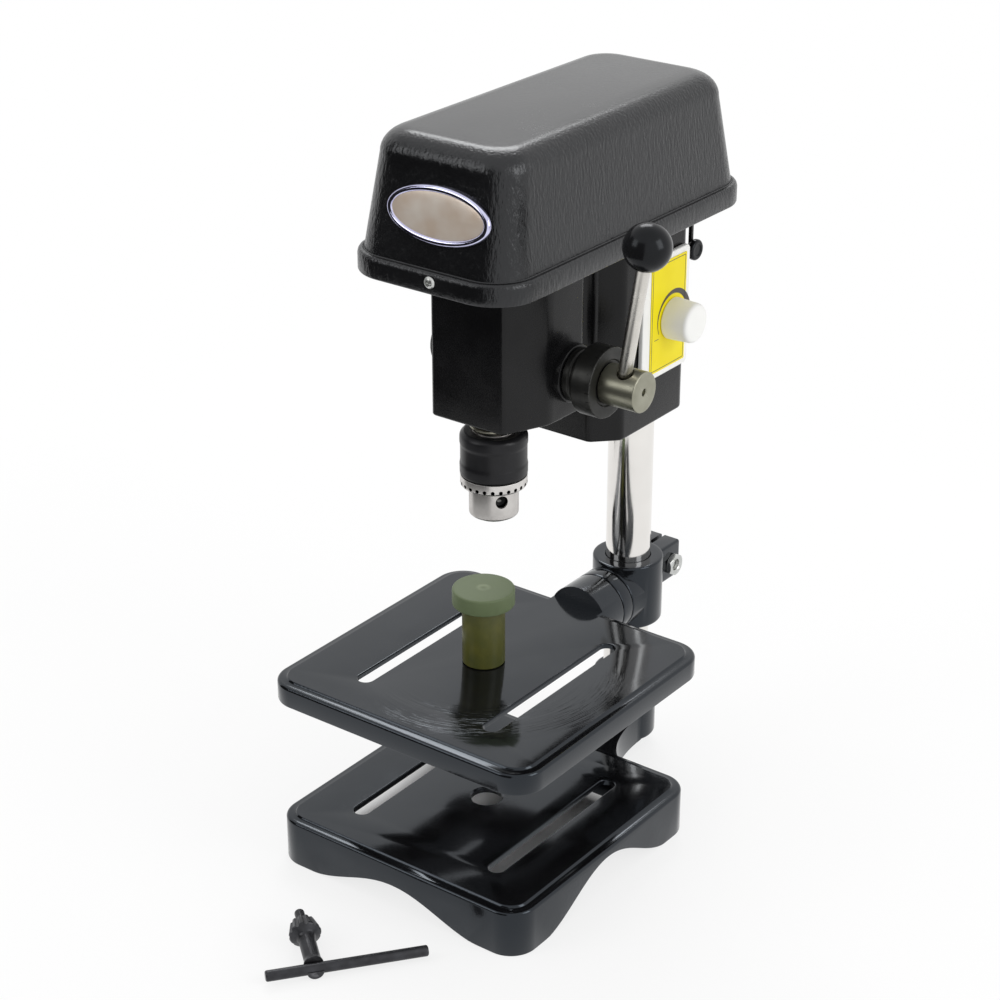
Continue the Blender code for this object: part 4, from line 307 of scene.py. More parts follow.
def carve(item: bpy.types.Object, others: Iterable[bpy.types.Object], how: Cut = Cut.AWAY,
          sharp: float = 30.0) -> bpy.types.Object:
    """Cut, join or intersect a shape with others, which are used up.

    Args:
        item: The shape that is kept.
        others: The shapes that act on it.
        how: The operation.
        sharp: Angle in degrees from which an edge stays sharp.

    Returns:
        The changed shape.
    """
    others = list(others)
    for other in others:
        step = item.modifiers.new("carve", "BOOLEAN")
        step.operation = how.value
        step.solver = "EXACT"
        step.object = other
    settle(item)
    for other in others:
        bpy.data.objects.remove(other)
    bm = bmesh.new()
    bm.from_mesh(item.data)
    bmesh.ops.remove_doubles(bm, verts=bm.verts, dist=SLIVER)
    bmesh.ops.dissolve_degenerate(bm, edges=bm.edges, dist=SLIVER)
    bmesh.ops.holes_fill(bm, edges=[edge for edge in bm.edges if edge.is_boundary], sides=4)
    bm.to_mesh(item.data)
    bm.free()
    item.data.shade_smooth()
    item.data.set_sharp_from_angle(angle=math.radians(sharp))
    return item


def settle(item: bpy.types.Object) -> bpy.types.Object:
    """Turn an object's modifiers into a plain mesh."""
    evaluated = item.evaluated_get(bpy.context.evaluated_depsgraph_get())
    mesh = bpy.data.meshes.new_from_object(evaluated)
    mesh.name = item.name
    item.modifiers.clear()
    item.data = mesh
    return item


def moved(item: bpy.types.Object, place: Point, turn: Optional[Matrix] = None
          ) -> bpy.types.Object:
    """Move a shape's mesh."""
    item.data.transform(Matrix.Translation(place) @ (turn or Matrix.Identity(4)))
    return item


@dataclass
class RingPattern:
    """A shape repeated round the Z axis by Geometry Nodes.

    Attributes:
        name: Name of the node tree and of the mesh.
        spoke: Shape that is repeated.
        count: Number of copies.
        radius: Distance of the copies' middles from the axis.
        width: Diameter or width of a copy.
        height: Height of a bar, unused for round spokes.
        depth: Length of a copy, which points away from the axis.
        tilt: Upward lean of each copy in radians.
        phase: Turn of the whole ring in radians.
    """

    name: str
    spoke: Spoke
    count: int
    radius: float
    width: float
    height: float
    depth: float
    tilt: float = 0.0
    phase: float = 0.0

    def tree(self) -> bpy.types.NodeTree:
        """Build the node tree with its named inputs."""
        tree = bpy.data.node_groups.new(self.name, "GeometryNodeTree")
        face = tree.interface
        face.new_socket("Geometry", in_out="OUTPUT", socket_type="NodeSocketGeometry")
        for label, kind in (("Count", "NodeSocketInt"), ("Radius", "NodeSocketFloat"),
                            ("Width", "NodeSocketFloat"), ("Height", "NodeSocketFloat"),
                            ("Depth", "NodeSocketFloat"), ("Tilt", "NodeSocketFloat"),
                            ("Material", "NodeSocketMaterial")):
            face.new_socket(label, in_out="INPUT", socket_type=kind)
        new, link = tree.nodes.new, tree.links.new
        entry = new("NodeGroupInput")
        circle = new("GeometryNodeMeshCircle")
        link(entry.outputs["Count"], circle.inputs["Vertices"])
        link(entry.outputs["Radius"], circle.inputs["Radius"])
        away = new("ShaderNodeVectorMath")
        away.operation = "NORMALIZE"
        link(new("GeometryNodeInputPosition").outputs["Position"], away.inputs[0])
        rise = new("ShaderNodeMath")
        rise.operation = "TANGENT"
        link(entry.outputs["Tilt"], rise.inputs[0])
        upward = new("ShaderNodeCombineXYZ")
        link(rise.outputs[0], upward.inputs["Z"])
        aim = new("ShaderNodeVectorMath")
        link(away.outputs[0], aim.inputs[0])
        link(upward.outputs[0], aim.inputs[1])
        align = new("FunctionNodeAlignRotationToVector")
        align.axis = "Z"
        link(aim.outputs[0], align.inputs["Vector"])
        upright = new("FunctionNodeAlignRotationToVector")
        upright.axis = "X"
        upright.pivot_axis = "Z"
        upright.inputs["Vector"].default_value = (0.0, 0.0, 1.0)
        link(align.outputs[0], upright.inputs["Rotation"])
        if self.spoke is Spoke.ROUND:
            shape = new("GeometryNodeMeshCylinder")
            shape.inputs["Vertices"].default_value = 14
            half = new("ShaderNodeMath")
            half.operation = "MULTIPLY"
            half.inputs[1].default_value = 0.5
            link(entry.outputs["Width"], half.inputs[0])
            link(half.outputs[0], shape.inputs["Radius"])
            link(entry.outputs["Depth"], shape.inputs["Depth"])
        else:
            shape = new("GeometryNodeMeshCube")
            size = new("ShaderNodeCombineXYZ")
            link(entry.outputs["Height"], size.inputs["X"])
            link(entry.outputs["Width"], size.inputs["Y"])
            link(entry.outputs["Depth"], size.inputs["Z"])
            link(size.outputs[0], shape.inputs["Size"])
        place = new("GeometryNodeInstanceOnPoints")
        link(circle.outputs["Mesh"], place.inputs["Points"])
        link(shape.outputs["Mesh"], place.inputs["Instance"])
        link(upright.outputs[0], place.inputs["Rotation"])
        real = new("GeometryNodeRealizeInstances")
        paint = new("GeometryNodeSetMaterial")
        leave = new("NodeGroupOutput")
        link(place.outputs[0], real.inputs[0])
        link(real.outputs[0], paint.inputs["Geometry"])
        link(entry.outputs["Material"], paint.inputs["Material"])
        link(paint.outputs[0], leave.inputs[0])
        return tree

    def mesh(self, material: Optional[bpy.types.Material] = None) -> bpy.types.Object:
        """Return the ring as a plain mesh object."""
        holder = bpy.data.objects.new(self.name, bpy.data.meshes.new(self.name))
        bpy.context.scene.collection.objects.link(holder)
        step = holder.modifiers.new("ring", "NODES")
        tree = self.tree()
        step.node_group = tree
        values = {"Count": self.count, "Radius": self.radius, "Width": self.width,
                  "Height": self.height, "Depth": self.depth, "Tilt": self.tilt,
                  "Material": material}
        for item in tree.interface.items_tree:
            if item.in_out == "INPUT" and values.get(item.name) is not None:
                step[item.identifier] = values[item.name]
        settle(holder)
        return moved(holder, (0, 0, 0), Matrix.Rotation(self.phase, 4, "Z"))


# Finishes


class Graph:
    """Small helper for building one shader tree."""

    def __init__(self, name: str) -> None:
        """Start a material with an empty Principled surface."""
        self.material = bpy.data.materials.new(name)
        self.material.use_nodes = True
        self.tree = self.material.node_tree
        self.surface = self.tree.nodes["Principled BSDF"]

    def add(self, kind: str, **values: object) -> bpy.types.Node:
        """Add a node and set its attributes."""
        node = self.tree.nodes.new(kind)
        for key, value in values.items():
            setattr(node, key, value)
        return node

    def link(self, start: bpy.types.NodeSocket, end: bpy.types.NodeSocket) -> None:
        """Join two sockets."""
        self.tree.links.new(start, end)

    def math(self, operation: str, first: object, second: object = 0.0) -> bpy.types.NodeSocket:
        """Add a Math node; each value is a socket or a number."""
        node = self.add("ShaderNodeMath", operation=operation)
        for value, socket in ((first, node.inputs[0]), (second, node.inputs[1])):
            if isinstance(value, bpy.types.NodeSocket):
                self.link(value, socket)
            else:
                socket.default_value = value
        return node.outputs[0]

    def spread(self, value: bpy.types.NodeSocket, low: float, high: float,
               out_low: float, out_high: float) -> bpy.types.NodeSocket:
        """Map a value from one range to another."""
        node = self.add("ShaderNodeMapRange")
        self.link(value, node.inputs["Value"])
        for label, number in (("From Min", low), ("From Max", high), ("To Min", out_low),
                              ("To Max", out_high)):
            node.inputs[label].default_value = number
        return node.outputs[0]

    def noise(self, vector: bpy.types.NodeSocket, scale: float, detail: float = 3.0,
              roughness: float = 0.55) -> bpy.types.NodeSocket:
        """Add a noise pattern."""
        node = self.add("ShaderNodeTexNoise")
        self.link(vector, node.inputs["Vector"])
        node.inputs["Scale"].default_value = scale
        node.inputs["Detail"].default_value = detail
        node.inputs["Roughness"].default_value = roughness
        return node.outputs["Fac"]

    def mix(self, share: bpy.types.NodeSocket, first: object, second: object
            ) -> bpy.types.NodeSocket:
        """Mix two colours, each a socket or a plain colour."""
        node = self.add("ShaderNodeMix", data_type="RGBA")
        self.link(share, node.inputs[0])
        for value, socket in ((first, node.inputs[6]), (second, node.inputs[7])):
            if isinstance(value, bpy.types.NodeSocket):
                self.link(value, socket)
            else:
                socket.default_value = (*value, 1.0)
        return node.outputs[2]


@dataclass(frozen=True)
class Finish:
    """A surface with colour variation, uneven gloss, grain and worn edges.

    Attributes:
        name: Name of the material.
        slot: The record's material slot.
        colour: Main colour, linear.
        shade: Colour that it drifts to.
        roughness: Least and greatest roughness.
        metallic: 1 for bare metal.
        grain: Size of the fine relief along X, Y and Z, in millimetres.
        relief: Height of the fine relief in millimetres.
        swell: Height of a slow waviness in millimetres.
        patch: Size of the colour drift in millimetres.
        coat: Weight of a clear layer.
        specular: Strength of the dielectric reflection.
        wear: Colour that shows on sharp edges, or None.
        calm_top: Share of the relief that is left on upward faces.
        sheen: Tint of the reflection.
        beads: Height of the coarse grain on sharp edges, in millimetres.
    """

    name: str
    slot: str
    colour: Point
    shade: Point
    roughness: tuple[float, float]
    metallic: float = 0.0
    grain: Point = (1.2, 1.2, 1.2)
    relief: float = 0.02
    swell: float = 0.0
    patch: float = 18.0
    coat: float = 0.0
    specular: float = 0.5
    wear: Optional[Point] = None
    calm_top: float = 1.0
    sheen: Point = (1.0, 1.0, 1.0)
    beads: float = 0.0

    def position(self, graph: Graph, centre: Point, axis: Axis) -> bpy.types.NodeSocket:
        """Return object coordinates in millimetres, centred on a piece."""
        coordinates = graph.add("ShaderNodeTexCoord")
        mapping = graph.add("ShaderNodeMapping", vector_type="TEXTURE")
        mapping.inputs["Location"].default_value = placed_point(centre)
        mapping.inputs["Rotation"].default_value = axis.matrix().to_euler()
        mapping.inputs["Scale"].default_value = (MM, MM, MM)
        graph.link(coordinates.outputs["Object"], mapping.inputs["Vector"])
        return mapping.outputs[0]

    def pattern(self, graph: Graph, position: bpy.types.NodeSocket) -> bpy.types.NodeSocket:
        """Return the height of the fine relief, from 0 to 1."""
        mapping = graph.add("ShaderNodeMapping")
        mapping.inputs["Scale"].default_value = tuple(1.0 / size for size in self.grain)
        graph.link(position, mapping.inputs["Vector"])
        return graph.noise(mapping.outputs[0], 1.0)

    def tinted(self, graph: Graph, position: bpy.types.NodeSocket, colour: bpy.types.NodeSocket
               ) -> bpy.types.NodeSocket:
        """Return the colour with what a finish of its own adds; a plain one adds nothing."""
        return colour

    def marked(self, graph: Graph, position: bpy.types.NodeSocket, height: bpy.types.NodeSocket
               ) -> bpy.types.NodeSocket:
        """Return the relief with marks of the finish's own; a plain one has none."""
        return height

    def build(self, centre: Point = (0.0, 0.0, 0.0), axis: Axis = Axis.Z) -> bpy.types.Material:
        """Build the material.

        Args:
            centre: Point that the pattern is centred on.
            axis: Axis that turned marks run round.

        Returns:
            The new material.
        """
        graph = Graph(self.name)
        position = self.position(graph, centre, axis)
        drift = graph.noise(position, 1.0 / self.patch, 2.0)
        fine = self.pattern(graph, position)
        surface = graph.surface
        colour = graph.mix(graph.spread(drift, 0.3, 0.7, 0.0, 1.0), self.colour, self.shade)
        colour = self.tinted(graph, position, colour)
        if self.wear is not None:
            edge = graph.add("ShaderNodeNewGeometry").outputs["Pointiness"]
            worn = graph.math("MULTIPLY", graph.spread(edge, 0.53, 0.60, 0.0, 0.75),
                              graph.spread(drift, 0.35, 0.6, 0.3, 1.0))
            colour = graph.mix(worn, colour, self.wear)
        graph.link(colour, surface.inputs["Base Color"])
        blend = graph.math("MULTIPLY", graph.math("ADD", drift, fine), 0.5)
        graph.link(graph.spread(blend, 0.32, 0.68, *self.roughness), surface.inputs["Roughness"])
        height = graph.math("MULTIPLY", fine, self.relief)
        if self.swell > 0:
            slow = graph.noise(position, 1.0 / (self.patch * 0.35), 1.0)
            height = graph.math("ADD", height, graph.math("MULTIPLY", slow, self.swell))
        if self.calm_top < 1.0:
            split = graph.add("ShaderNodeSeparateXYZ")
            graph.link(graph.add("ShaderNodeTexCoord").outputs["Normal"], split.inputs[0])
            calm = graph.spread(split.outputs["Z"], 0.85, 0.98, 1.0, self.calm_top)
            height = graph.math("MULTIPLY", height, calm)
        if self.wear is not None and self.beads > 0:
            coarse = graph.math("MULTIPLY", graph.noise(position, 1.1, 1.0), self.beads)
            height = graph.math("ADD", height, graph.math("MULTIPLY", coarse, worn))
        height = self.marked(graph, position, height)
        bump = graph.add("ShaderNodeBump")
        bump.inputs["Strength"].default_value = 1.0
        bump.inputs["Distance"].default_value = MM
        graph.link(height, bump.inputs["Height"])
        graph.link(bump.outputs[0], surface.inputs["Normal"])
        surface.inputs["Metallic"].default_value = self.metallic
        surface.inputs["Coat Weight"].default_value = self.coat
        surface.inputs["Coat Roughness"].default_value = 0.06
        surface.inputs["Specular IOR Level"].default_value = self.specular
        surface.inputs["Specular Tint"].default_value = (*self.sheen, 1.0)
        return graph.material


@dataclass(frozen=True)
class TurnedFinish(Finish):
    """A finish with the fine circular marks of a lathe."""

    def pattern(self, graph: Graph, position: bpy.types.NodeSocket) -> bpy.types.NodeSocket:
        """Return marks that follow the distance from the axis and the height."""
        split = graph.add("ShaderNodeSeparateXYZ")
        graph.link(position, split.inputs[0])
        flat = graph.add("ShaderNodeCombineXYZ")
        graph.link(split.outputs["X"], flat.inputs["X"])
        graph.link(split.outputs["Y"], flat.inputs["Y"])
        length = graph.add("ShaderNodeVectorMath", operation="LENGTH")
        graph.link(flat.outputs[0], length.inputs[0])
        joined = graph.add("ShaderNodeCombineXYZ")
        graph.link(graph.math("DIVIDE", length.outputs["Value"], self.grain[0]),
                   joined.inputs["X"])
        graph.link(graph.math("DIVIDE", split.outputs["Z"], self.grain[2]), joined.inputs["Z"])
        return graph.noise(joined.outputs[0], 1.0, 2.0)


@dataclass(frozen=True)
class BoredFinish(TurnedFinish):
    """A turned finish with painted shade in its bores and gaps.

    Attributes:
        within: Radius inside which the metal gets painted shade.
        span: Lower and upper end of that zone along the axis.
        bore_shade: Colour of the painted shade.
    """

    within: float = 10.0
    span: tuple[float, float] = (0.0, 1.0)
    bore_shade: Point = (0.010, 0.010, 0.010)

    def tinted(self, graph: Graph, position: bpy.types.NodeSocket, colour: bpy.types.NodeSocket
               ) -> bpy.types.NodeSocket:
        """Return the colour with painted shade in the zone near the axis."""
        split = graph.add("ShaderNodeSeparateXYZ")
        graph.link(position, split.inputs[0])
        square = graph.math("ADD", graph.math("MULTIPLY", split.outputs["X"], split.outputs["X"]),
                            graph.math("MULTIPLY", split.outputs["Y"], split.outputs["Y"]))
        deep = graph.spread(graph.math("SQRT", square), self.within - 0.35, self.within, 1.0, 0.0)
        above = graph.spread(split.outputs["Z"], self.span[0] - 0.1, self.span[0], 0.0, 1.0)
        below = graph.spread(split.outputs["Z"], self.span[1], self.span[1] + 0.1, 1.0, 0.0)
        zone = graph.math("MULTIPLY", deep, graph.math("MULTIPLY", above, below))
        # Painted shade: the metal in bores and gaps is darkened in its colour.
        return graph.mix(zone, colour, self.bore_shade)


@dataclass(frozen=True)
class RubbedFinish(Finish):
    """A finish that was rubbed down in arcs on one side.

    Attributes:
        middle: X and Y that the arcs run round.
        reach: Inner and outer radius of the rubbed zone.
        depth: Height of the arcs in millimetres.
    """

    middle: tuple[float, float] = (0.0, 0.0)
    reach: tuple[float, float] = (10.0, 20.0)
    depth: float = 0.0

    def marked(self, graph: Graph, position: bpy.types.NodeSocket, height: bpy.types.NodeSocket
               ) -> bpy.types.NodeSocket:
        """Return the relief with the arcs towards the front right."""
        split = graph.add("ShaderNodeSeparateXYZ")
        graph.link(position, split.inputs[0])
        across = graph.math("SUBTRACT", split.outputs["X"], self.middle[0])
        along = graph.math("SUBTRACT", split.outputs["Y"], self.middle[1])
        square = graph.math("ADD", graph.math("MULTIPLY", across, across),
                            graph.math("MULTIPLY", along, along))
        radius = graph.math("SQRT", square)
        joined = graph.add("ShaderNodeCombineXYZ")
        graph.link(graph.math("DIVIDE", radius, 0.9), joined.inputs["X"])
        graph.link(graph.math("DIVIDE", across, 22.0), joined.inputs["Y"])
        graph.link(graph.math("DIVIDE", along, 22.0), joined.inputs["Z"])
        arcs = graph.noise(joined.outputs[0], 1.0, 2.0)
        inner, outer = self.reach
        zone = graph.math("MULTIPLY", graph.spread(radius, inner, inner + 9.0, 0.0, 1.0),
                          graph.spread(radius, outer - 9.0, outer, 1.0, 0.0))
        side = graph.spread(graph.math("SUBTRACT", across, along), 14.0, 44.0, 0.0, 1.0)
        share = graph.math("MULTIPLY", graph.math("MULTIPLY", zone, side), self.depth)
        return graph.math("ADD", height, graph.math("MULTIPLY", arcs, share))


CAST = Finish("gloss_cast_paint", "black_cast_paint", (0.0040, 0.0040, 0.0046),
              (0.0065, 0.0065, 0.0072), (0.05, 0.14), grain=(1.1, 1.1, 1.1), relief=0.040,
              swell=0.03, patch=26.0, specular=0.48, wear=(0.035, 0.035, 0.037), calm_top=0.06,
              sheen=(0.76, 0.87, 1.0), beads=0.34)
TABLE_PAINT = RubbedFinish("rubbed_cast_paint", "black_cast_paint", (0.0040, 0.0040, 0.0046),
                           (0.0065, 0.0065, 0.0072), (0.05, 0.14), grain=(1.1, 1.1, 1.1),
                           relief=0.040, swell=0.03, patch=26.0, specular=0.48,
                           wear=(0.035, 0.035, 0.037), calm_top=0.06, sheen=(0.76, 0.87, 1.0),
                           beads=0.34, middle=(0.0, -135.0), reach=(40.0, 78.0), depth=0.13)
HEAD_PAINT = Finish("head_cast_paint", "black_cast_paint", (0.0040, 0.0040, 0.0044),
                    (0.0068, 0.0068, 0.0074), (0.16, 0.34), grain=(0.8, 0.8, 1.1), relief=0.026,
                    swell=0.05, patch=22.0, specular=0.24, wear=(0.030, 0.030, 0.031))
RIPPLE = Finish("ripple_paint", "black_ripple_paint", (0.0045, 0.0045, 0.0050),
                (0.0070, 0.0070, 0.0078), (0.16, 0.28), grain=(1.4, 1.4, 5.0), relief=0.40,
                swell=0.02, patch=40.0, specular=0.52, calm_top=0.15, sheen=(0.95, 0.97, 1.0))
CHROME = Finish("polished_column", "polished_chrome", (0.83, 0.81, 0.78), (0.76, 0.74, 0.71),
                (0.09, 0.16), metallic=1.0, grain=(0.35, 0.35, 5.0), relief=0.0006, patch=30.0)
BRIGHT = TurnedFinish("bright_steel_turned", "bright_steel", (0.63, 0.62, 0.60),
                      (0.50, 0.49, 0.47), (0.20, 0.34), metallic=1.0, grain=(0.12, 0.12, 0.16),
                      relief=0.003, patch=7.0, wear=(0.80, 0.79, 0.76))
# The chuck body, tooth ring and quill nose get painted shade in their bores, grooves and tooth
# gaps.
CHUCK_STEEL = BoredFinish("chuck_body_steel", "bright_steel", (0.62, 0.60, 0.58),
                          (0.52, 0.50, 0.48), (0.30, 0.42), metallic=1.0,
                          grain=(0.12, 0.12, 0.20), relief=0.003, patch=7.0,
                          wear=(0.74, 0.73, 0.70), within=12.35, span=(203.0, 212.6))
TOOTH_STEEL = BoredFinish("chuck_tooth_steel", "bright_steel", (0.72, 0.70, 0.68),
                          (0.60, 0.58, 0.56), (0.28, 0.40), metallic=1.0,
                          grain=(0.12, 0.12, 0.16), relief=0.003, patch=7.0,
                          wear=(0.82, 0.81, 0.78), within=16.95, span=(213.9, 216.6))
NOSE_STEEL = BoredFinish("quill_nose_steel", "bright_steel", (0.42, 0.41, 0.33),
                         (0.34, 0.33, 0.27), (0.26, 0.38), metallic=1.0,
                         grain=(0.12, 0.12, 0.16), relief=0.003, patch=7.0,
                         wear=(0.62, 0.61, 0.52), within=11.9, span=(247.0, 248.2))
ZINC = TurnedFinish("zinc_plate", "zinc_steel", (0.62, 0.63, 0.62), (0.48, 0.49, 0.47),
                    (0.24, 0.42), metallic=1.0, grain=(0.25, 0.25, 0.3), relief=0.004, patch=5.0,
                    wear=(0.80, 0.80, 0.78))
HUB_STEEL = TurnedFinish("oiled_turned_steel", "turned_steel", (0.36, 0.355, 0.285),
                         (0.28, 0.275, 0.215), (0.30, 0.44), metallic=0.95,
                         grain=(0.15, 0.15, 0.22), relief=0.004, patch=12.0,
                         wear=(0.50, 0.49, 0.42))
DARK_STEEL = TurnedFinish("dark_oiled_steel", "dark_steel", (0.050, 0.050, 0.047),
                          (0.030, 0.030, 0.029), (0.34, 0.50), metallic=0.85,
                          grain=(0.2, 0.2, 0.25), relief=0.006, patch=10.0,
                          wear=(0.16, 0.16, 0.15))
NICKEL = Finish("satin_nickel_rod", "satin_nickel", (0.70, 0.675, 0.63), (0.62, 0.60, 0.555),
                (0.25, 0.34), metallic=1.0, grain=(0.6, 0.6, 14.0), relief=0.0004, patch=16.0,
                wear=(0.80, 0.78, 0.74))
BLACK_OXIDE = TurnedFinish("black_oxide_steel", "black_oxide", (0.0085, 0.0085, 0.0098),
                           (0.0135, 0.0135, 0.0155), (0.28, 0.44), metallic=0.25, specular=0.34,
                           grain=(0.25, 0.25, 0.35), relief=0.004, patch=11.0,
                           wear=(0.09, 0.09, 0.095))
KEY_OXIDE = Finish("key_black_oxide", "black_oxide", (0.024, 0.024, 0.027),
                   (0.048, 0.049, 0.055), (0.26, 0.44), metallic=0.6, grain=(0.5, 0.5, 0.5),
                   relief=0.010, patch=8.0, wear=(0.16, 0.16, 0.17))
BALL_BLACK = Finish("moulded_black", "gloss_black_plastic", (0.0055, 0.0055, 0.0062),
                    (0.0080, 0.0080, 0.0088), (0.14, 0.22), grain=(2.5, 2.5, 2.5),
                    relief=0.006, patch=9.0, specular=0.20, sheen=(0.88, 0.94, 1.0))
WHITE = Finish("white_moulding", "white_plastic", (0.88, 0.88, 0.855), (0.86, 0.86, 0.835),
               (0.48, 0.60), grain=(0.5, 0.5, 0.5), relief=0.004, patch=12.0)
YELLOW = Finish("printed_film", "yellow_label", (0.88, 0.74, 0.004), (0.84, 0.69, 0.003),
                (0.42, 0.54), grain=(0.6, 0.6, 0.6), relief=0.003, patch=22.0, specular=0.25)
PRINT = Finish("black_print", "gloss_black_plastic", (0.045, 0.038, 0.038),
               (0.060, 0.050, 0.045), (0.40, 0.50), grain=(0.4, 0.4, 0.4), relief=0.002)
OLIVE_HEAD = Finish("olive_head_plastic", "olive_head", (0.098, 0.132, 0.058),
                    (0.112, 0.148, 0.068), (0.52, 0.62), grain=(0.5, 0.5, 0.5), relief=0.006,
                    patch=11.0, wear=(0.22, 0.26, 0.15))
OLIVE_STEM = TurnedFinish("olive_stem_plastic", "olive_stem", (0.100, 0.098, 0.020),
                          (0.072, 0.078, 0.018), (0.30, 0.44), grain=(0.4, 0.4, 0.5),
                          relief=0.006, patch=9.0, wear=(0.17, 0.17, 0.06))
BADGE_FACE = Finish("badge_satin_face", "badge_metal", (0.66, 0.53, 0.42), (0.78, 0.70, 0.62),
                    (0.16, 0.26), metallic=0.45, grain=(0.35, 6.0, 0.35), relief=0.004,
                    patch=16.0, coat=0.8)
BADGE_RIM = Finish("badge_bright_rim", "badge_metal", (0.66, 0.67, 0.88), (0.48, 0.46, 0.66),
                   (0.08, 0.16), metallic=1.0, grain=(1.0, 1.0, 1.0), relief=0.004, patch=12.0)
ALLOY = TurnedFinish("machined_alloy", "alloy", (0.55, 0.56, 0.57), (0.46, 0.47, 0.48),
                     (0.26, 0.40), metallic=1.0, grain=(0.15, 0.15, 0.2), relief=0.004,
                     patch=8.0, wear=(0.72, 0.73, 0.74))
RUBBER = Finish("belt_rubber_black", "belt_rubber", (0.018, 0.018, 0.018), (0.030, 0.030, 0.030),
                (0.65, 0.85), grain=(0.4, 0.4, 0.4), relief=0.02, patch=6.0)
BOARD = Finish("board_green", "green_board", (0.020, 0.150, 0.060), (0.030, 0.19, 0.075),
               (0.30, 0.45), grain=(0.6, 0.6, 0.6), relief=0.01, patch=6.0)


def placed_point(point: Sequence[float]) -> Vector:
    """Turn a drawing point in millimetres into the frame's metres."""
    return Vector((point[0] + COLUMN_X, point[1] + COLUMN_Y, point[2])) * MM


def put(item: bpy.types.Object, body: str, finish: Finish, nodes: Sequence[str] = (),
        centre: Point = (0.0, 0.0, 0.0), axis: Axis = Axis.Z) -> bpy.types.Object:
    """Scale, move and dress a finished piece, and tie it to its CAD body.

    Args:
        item: The piece, drawn in millimetres.
        body: The body that it rides on.
        finish: Its surface.
        nodes: The CAD nodes that it stands for.
        centre: Point that its surface pattern is centred on.
        axis: Axis that turned marks run round.

    Returns:
        The piece.
    """
    item.data.transform(Matrix.Translation(placed_point((0.0, 0.0, 0.0))) @ Matrix.Scale(MM, 4))
    item.data.materials.clear()
    item.data.materials.append(finish.build(centre, axis))
    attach(item, body)
    if nodes:
        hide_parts(*nodes)
    LOG.info("%s rides on %s with %d faces", item.name, body, len(item.data.polygons))
    return item


def dress_node(name: str, finish: Finish, centre: Point = (0.0, 0.0, 0.0),
               axis: Axis = Axis.Z) -> None:
    """Give a CAD node that stays in view its finish."""
    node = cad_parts[name]
    node.data.materials.clear()
    node.data.materials.append(finish.build(centre, axis))
    LOG.info("%s keeps its CAD shape", name)


# Sub-assemblies


@dataclass
class Slab:
    """A cast plate with a raised platform and two slots, as base and table have.

    Attributes:
        half: Half of its width.
        front: Front edge.
        rear: Rear edge.
        corner: Corner radius.
        bottom: Lowest level of its rim.
        top: Height of the platform.
        edge: Radius of the upper edge.
        border: Width of the border round the platform.
        step: Height of the platform above the border.
        wall: Thickness of the rim below the plate.
        plate: Thickness of the plate.
        slot_x: Distance of the slots from the middle.
        slot_span: Front and rear ends of the slots.
        slot_width: Width of the slots.
    """

    half: float
    front: float
    rear: float
    corner: float
    bottom: float
    top: float
    wall: float
    plate: float
    slot_x: float
    slot_span: tuple[float, float]
    edge: float = 1.8
    border: float = 4.6
    step: float = 1.2
    slot_width: float = 9.2

    def ring(self, inset: float, z: float) -> list[Point]:
        """Return one level of the rim."""
        return lifted(rectangle(self.half - inset, self.front + inset, self.rear - inset,
                                self.corner - min(inset, self.corner * 0.5)), z)

    def solid(self, name: str) -> bpy.types.Object:
        """Return the plate with its rounded edges and platform, hollow underneath."""
        shelf = self.top - self.step
        levels = [self.ring(0.8, self.bottom), self.ring(0.25, self.bottom + 0.25),
                  self.ring(0.0, self.bottom + 0.9)]
        levels += [self.ring(self.edge * (1 - math.cos(a)),
                             shelf - self.edge + self.edge * math.sin(a))
                   for a in (math.radians(15 * k) for k in range(7))]
        levels += [self.ring(self.border, shelf), self.ring(self.border + 0.25, shelf + 0.12),
                   self.ring(self.border + 0.7, self.top - 0.25),
                   self.ring(self.border + 1.1, self.top)]
        body = loft(name, levels)
        inner = rectangle(self.half - self.wall, self.front + self.wall, self.rear - self.wall,
                          self.corner - self.wall)
        return carve(body, [prism("hollow", inner, self.bottom - OVERRUN, self.top - self.plate)])

    def slots(self) -> list[bpy.types.Object]:
        """Return the cutters of both slots."""
        return [slot_cutter(side * self.slot_x, *self.slot_span, self.slot_width,
                            self.bottom - 20, self.top, 0.7) for side in (-1, 1)]


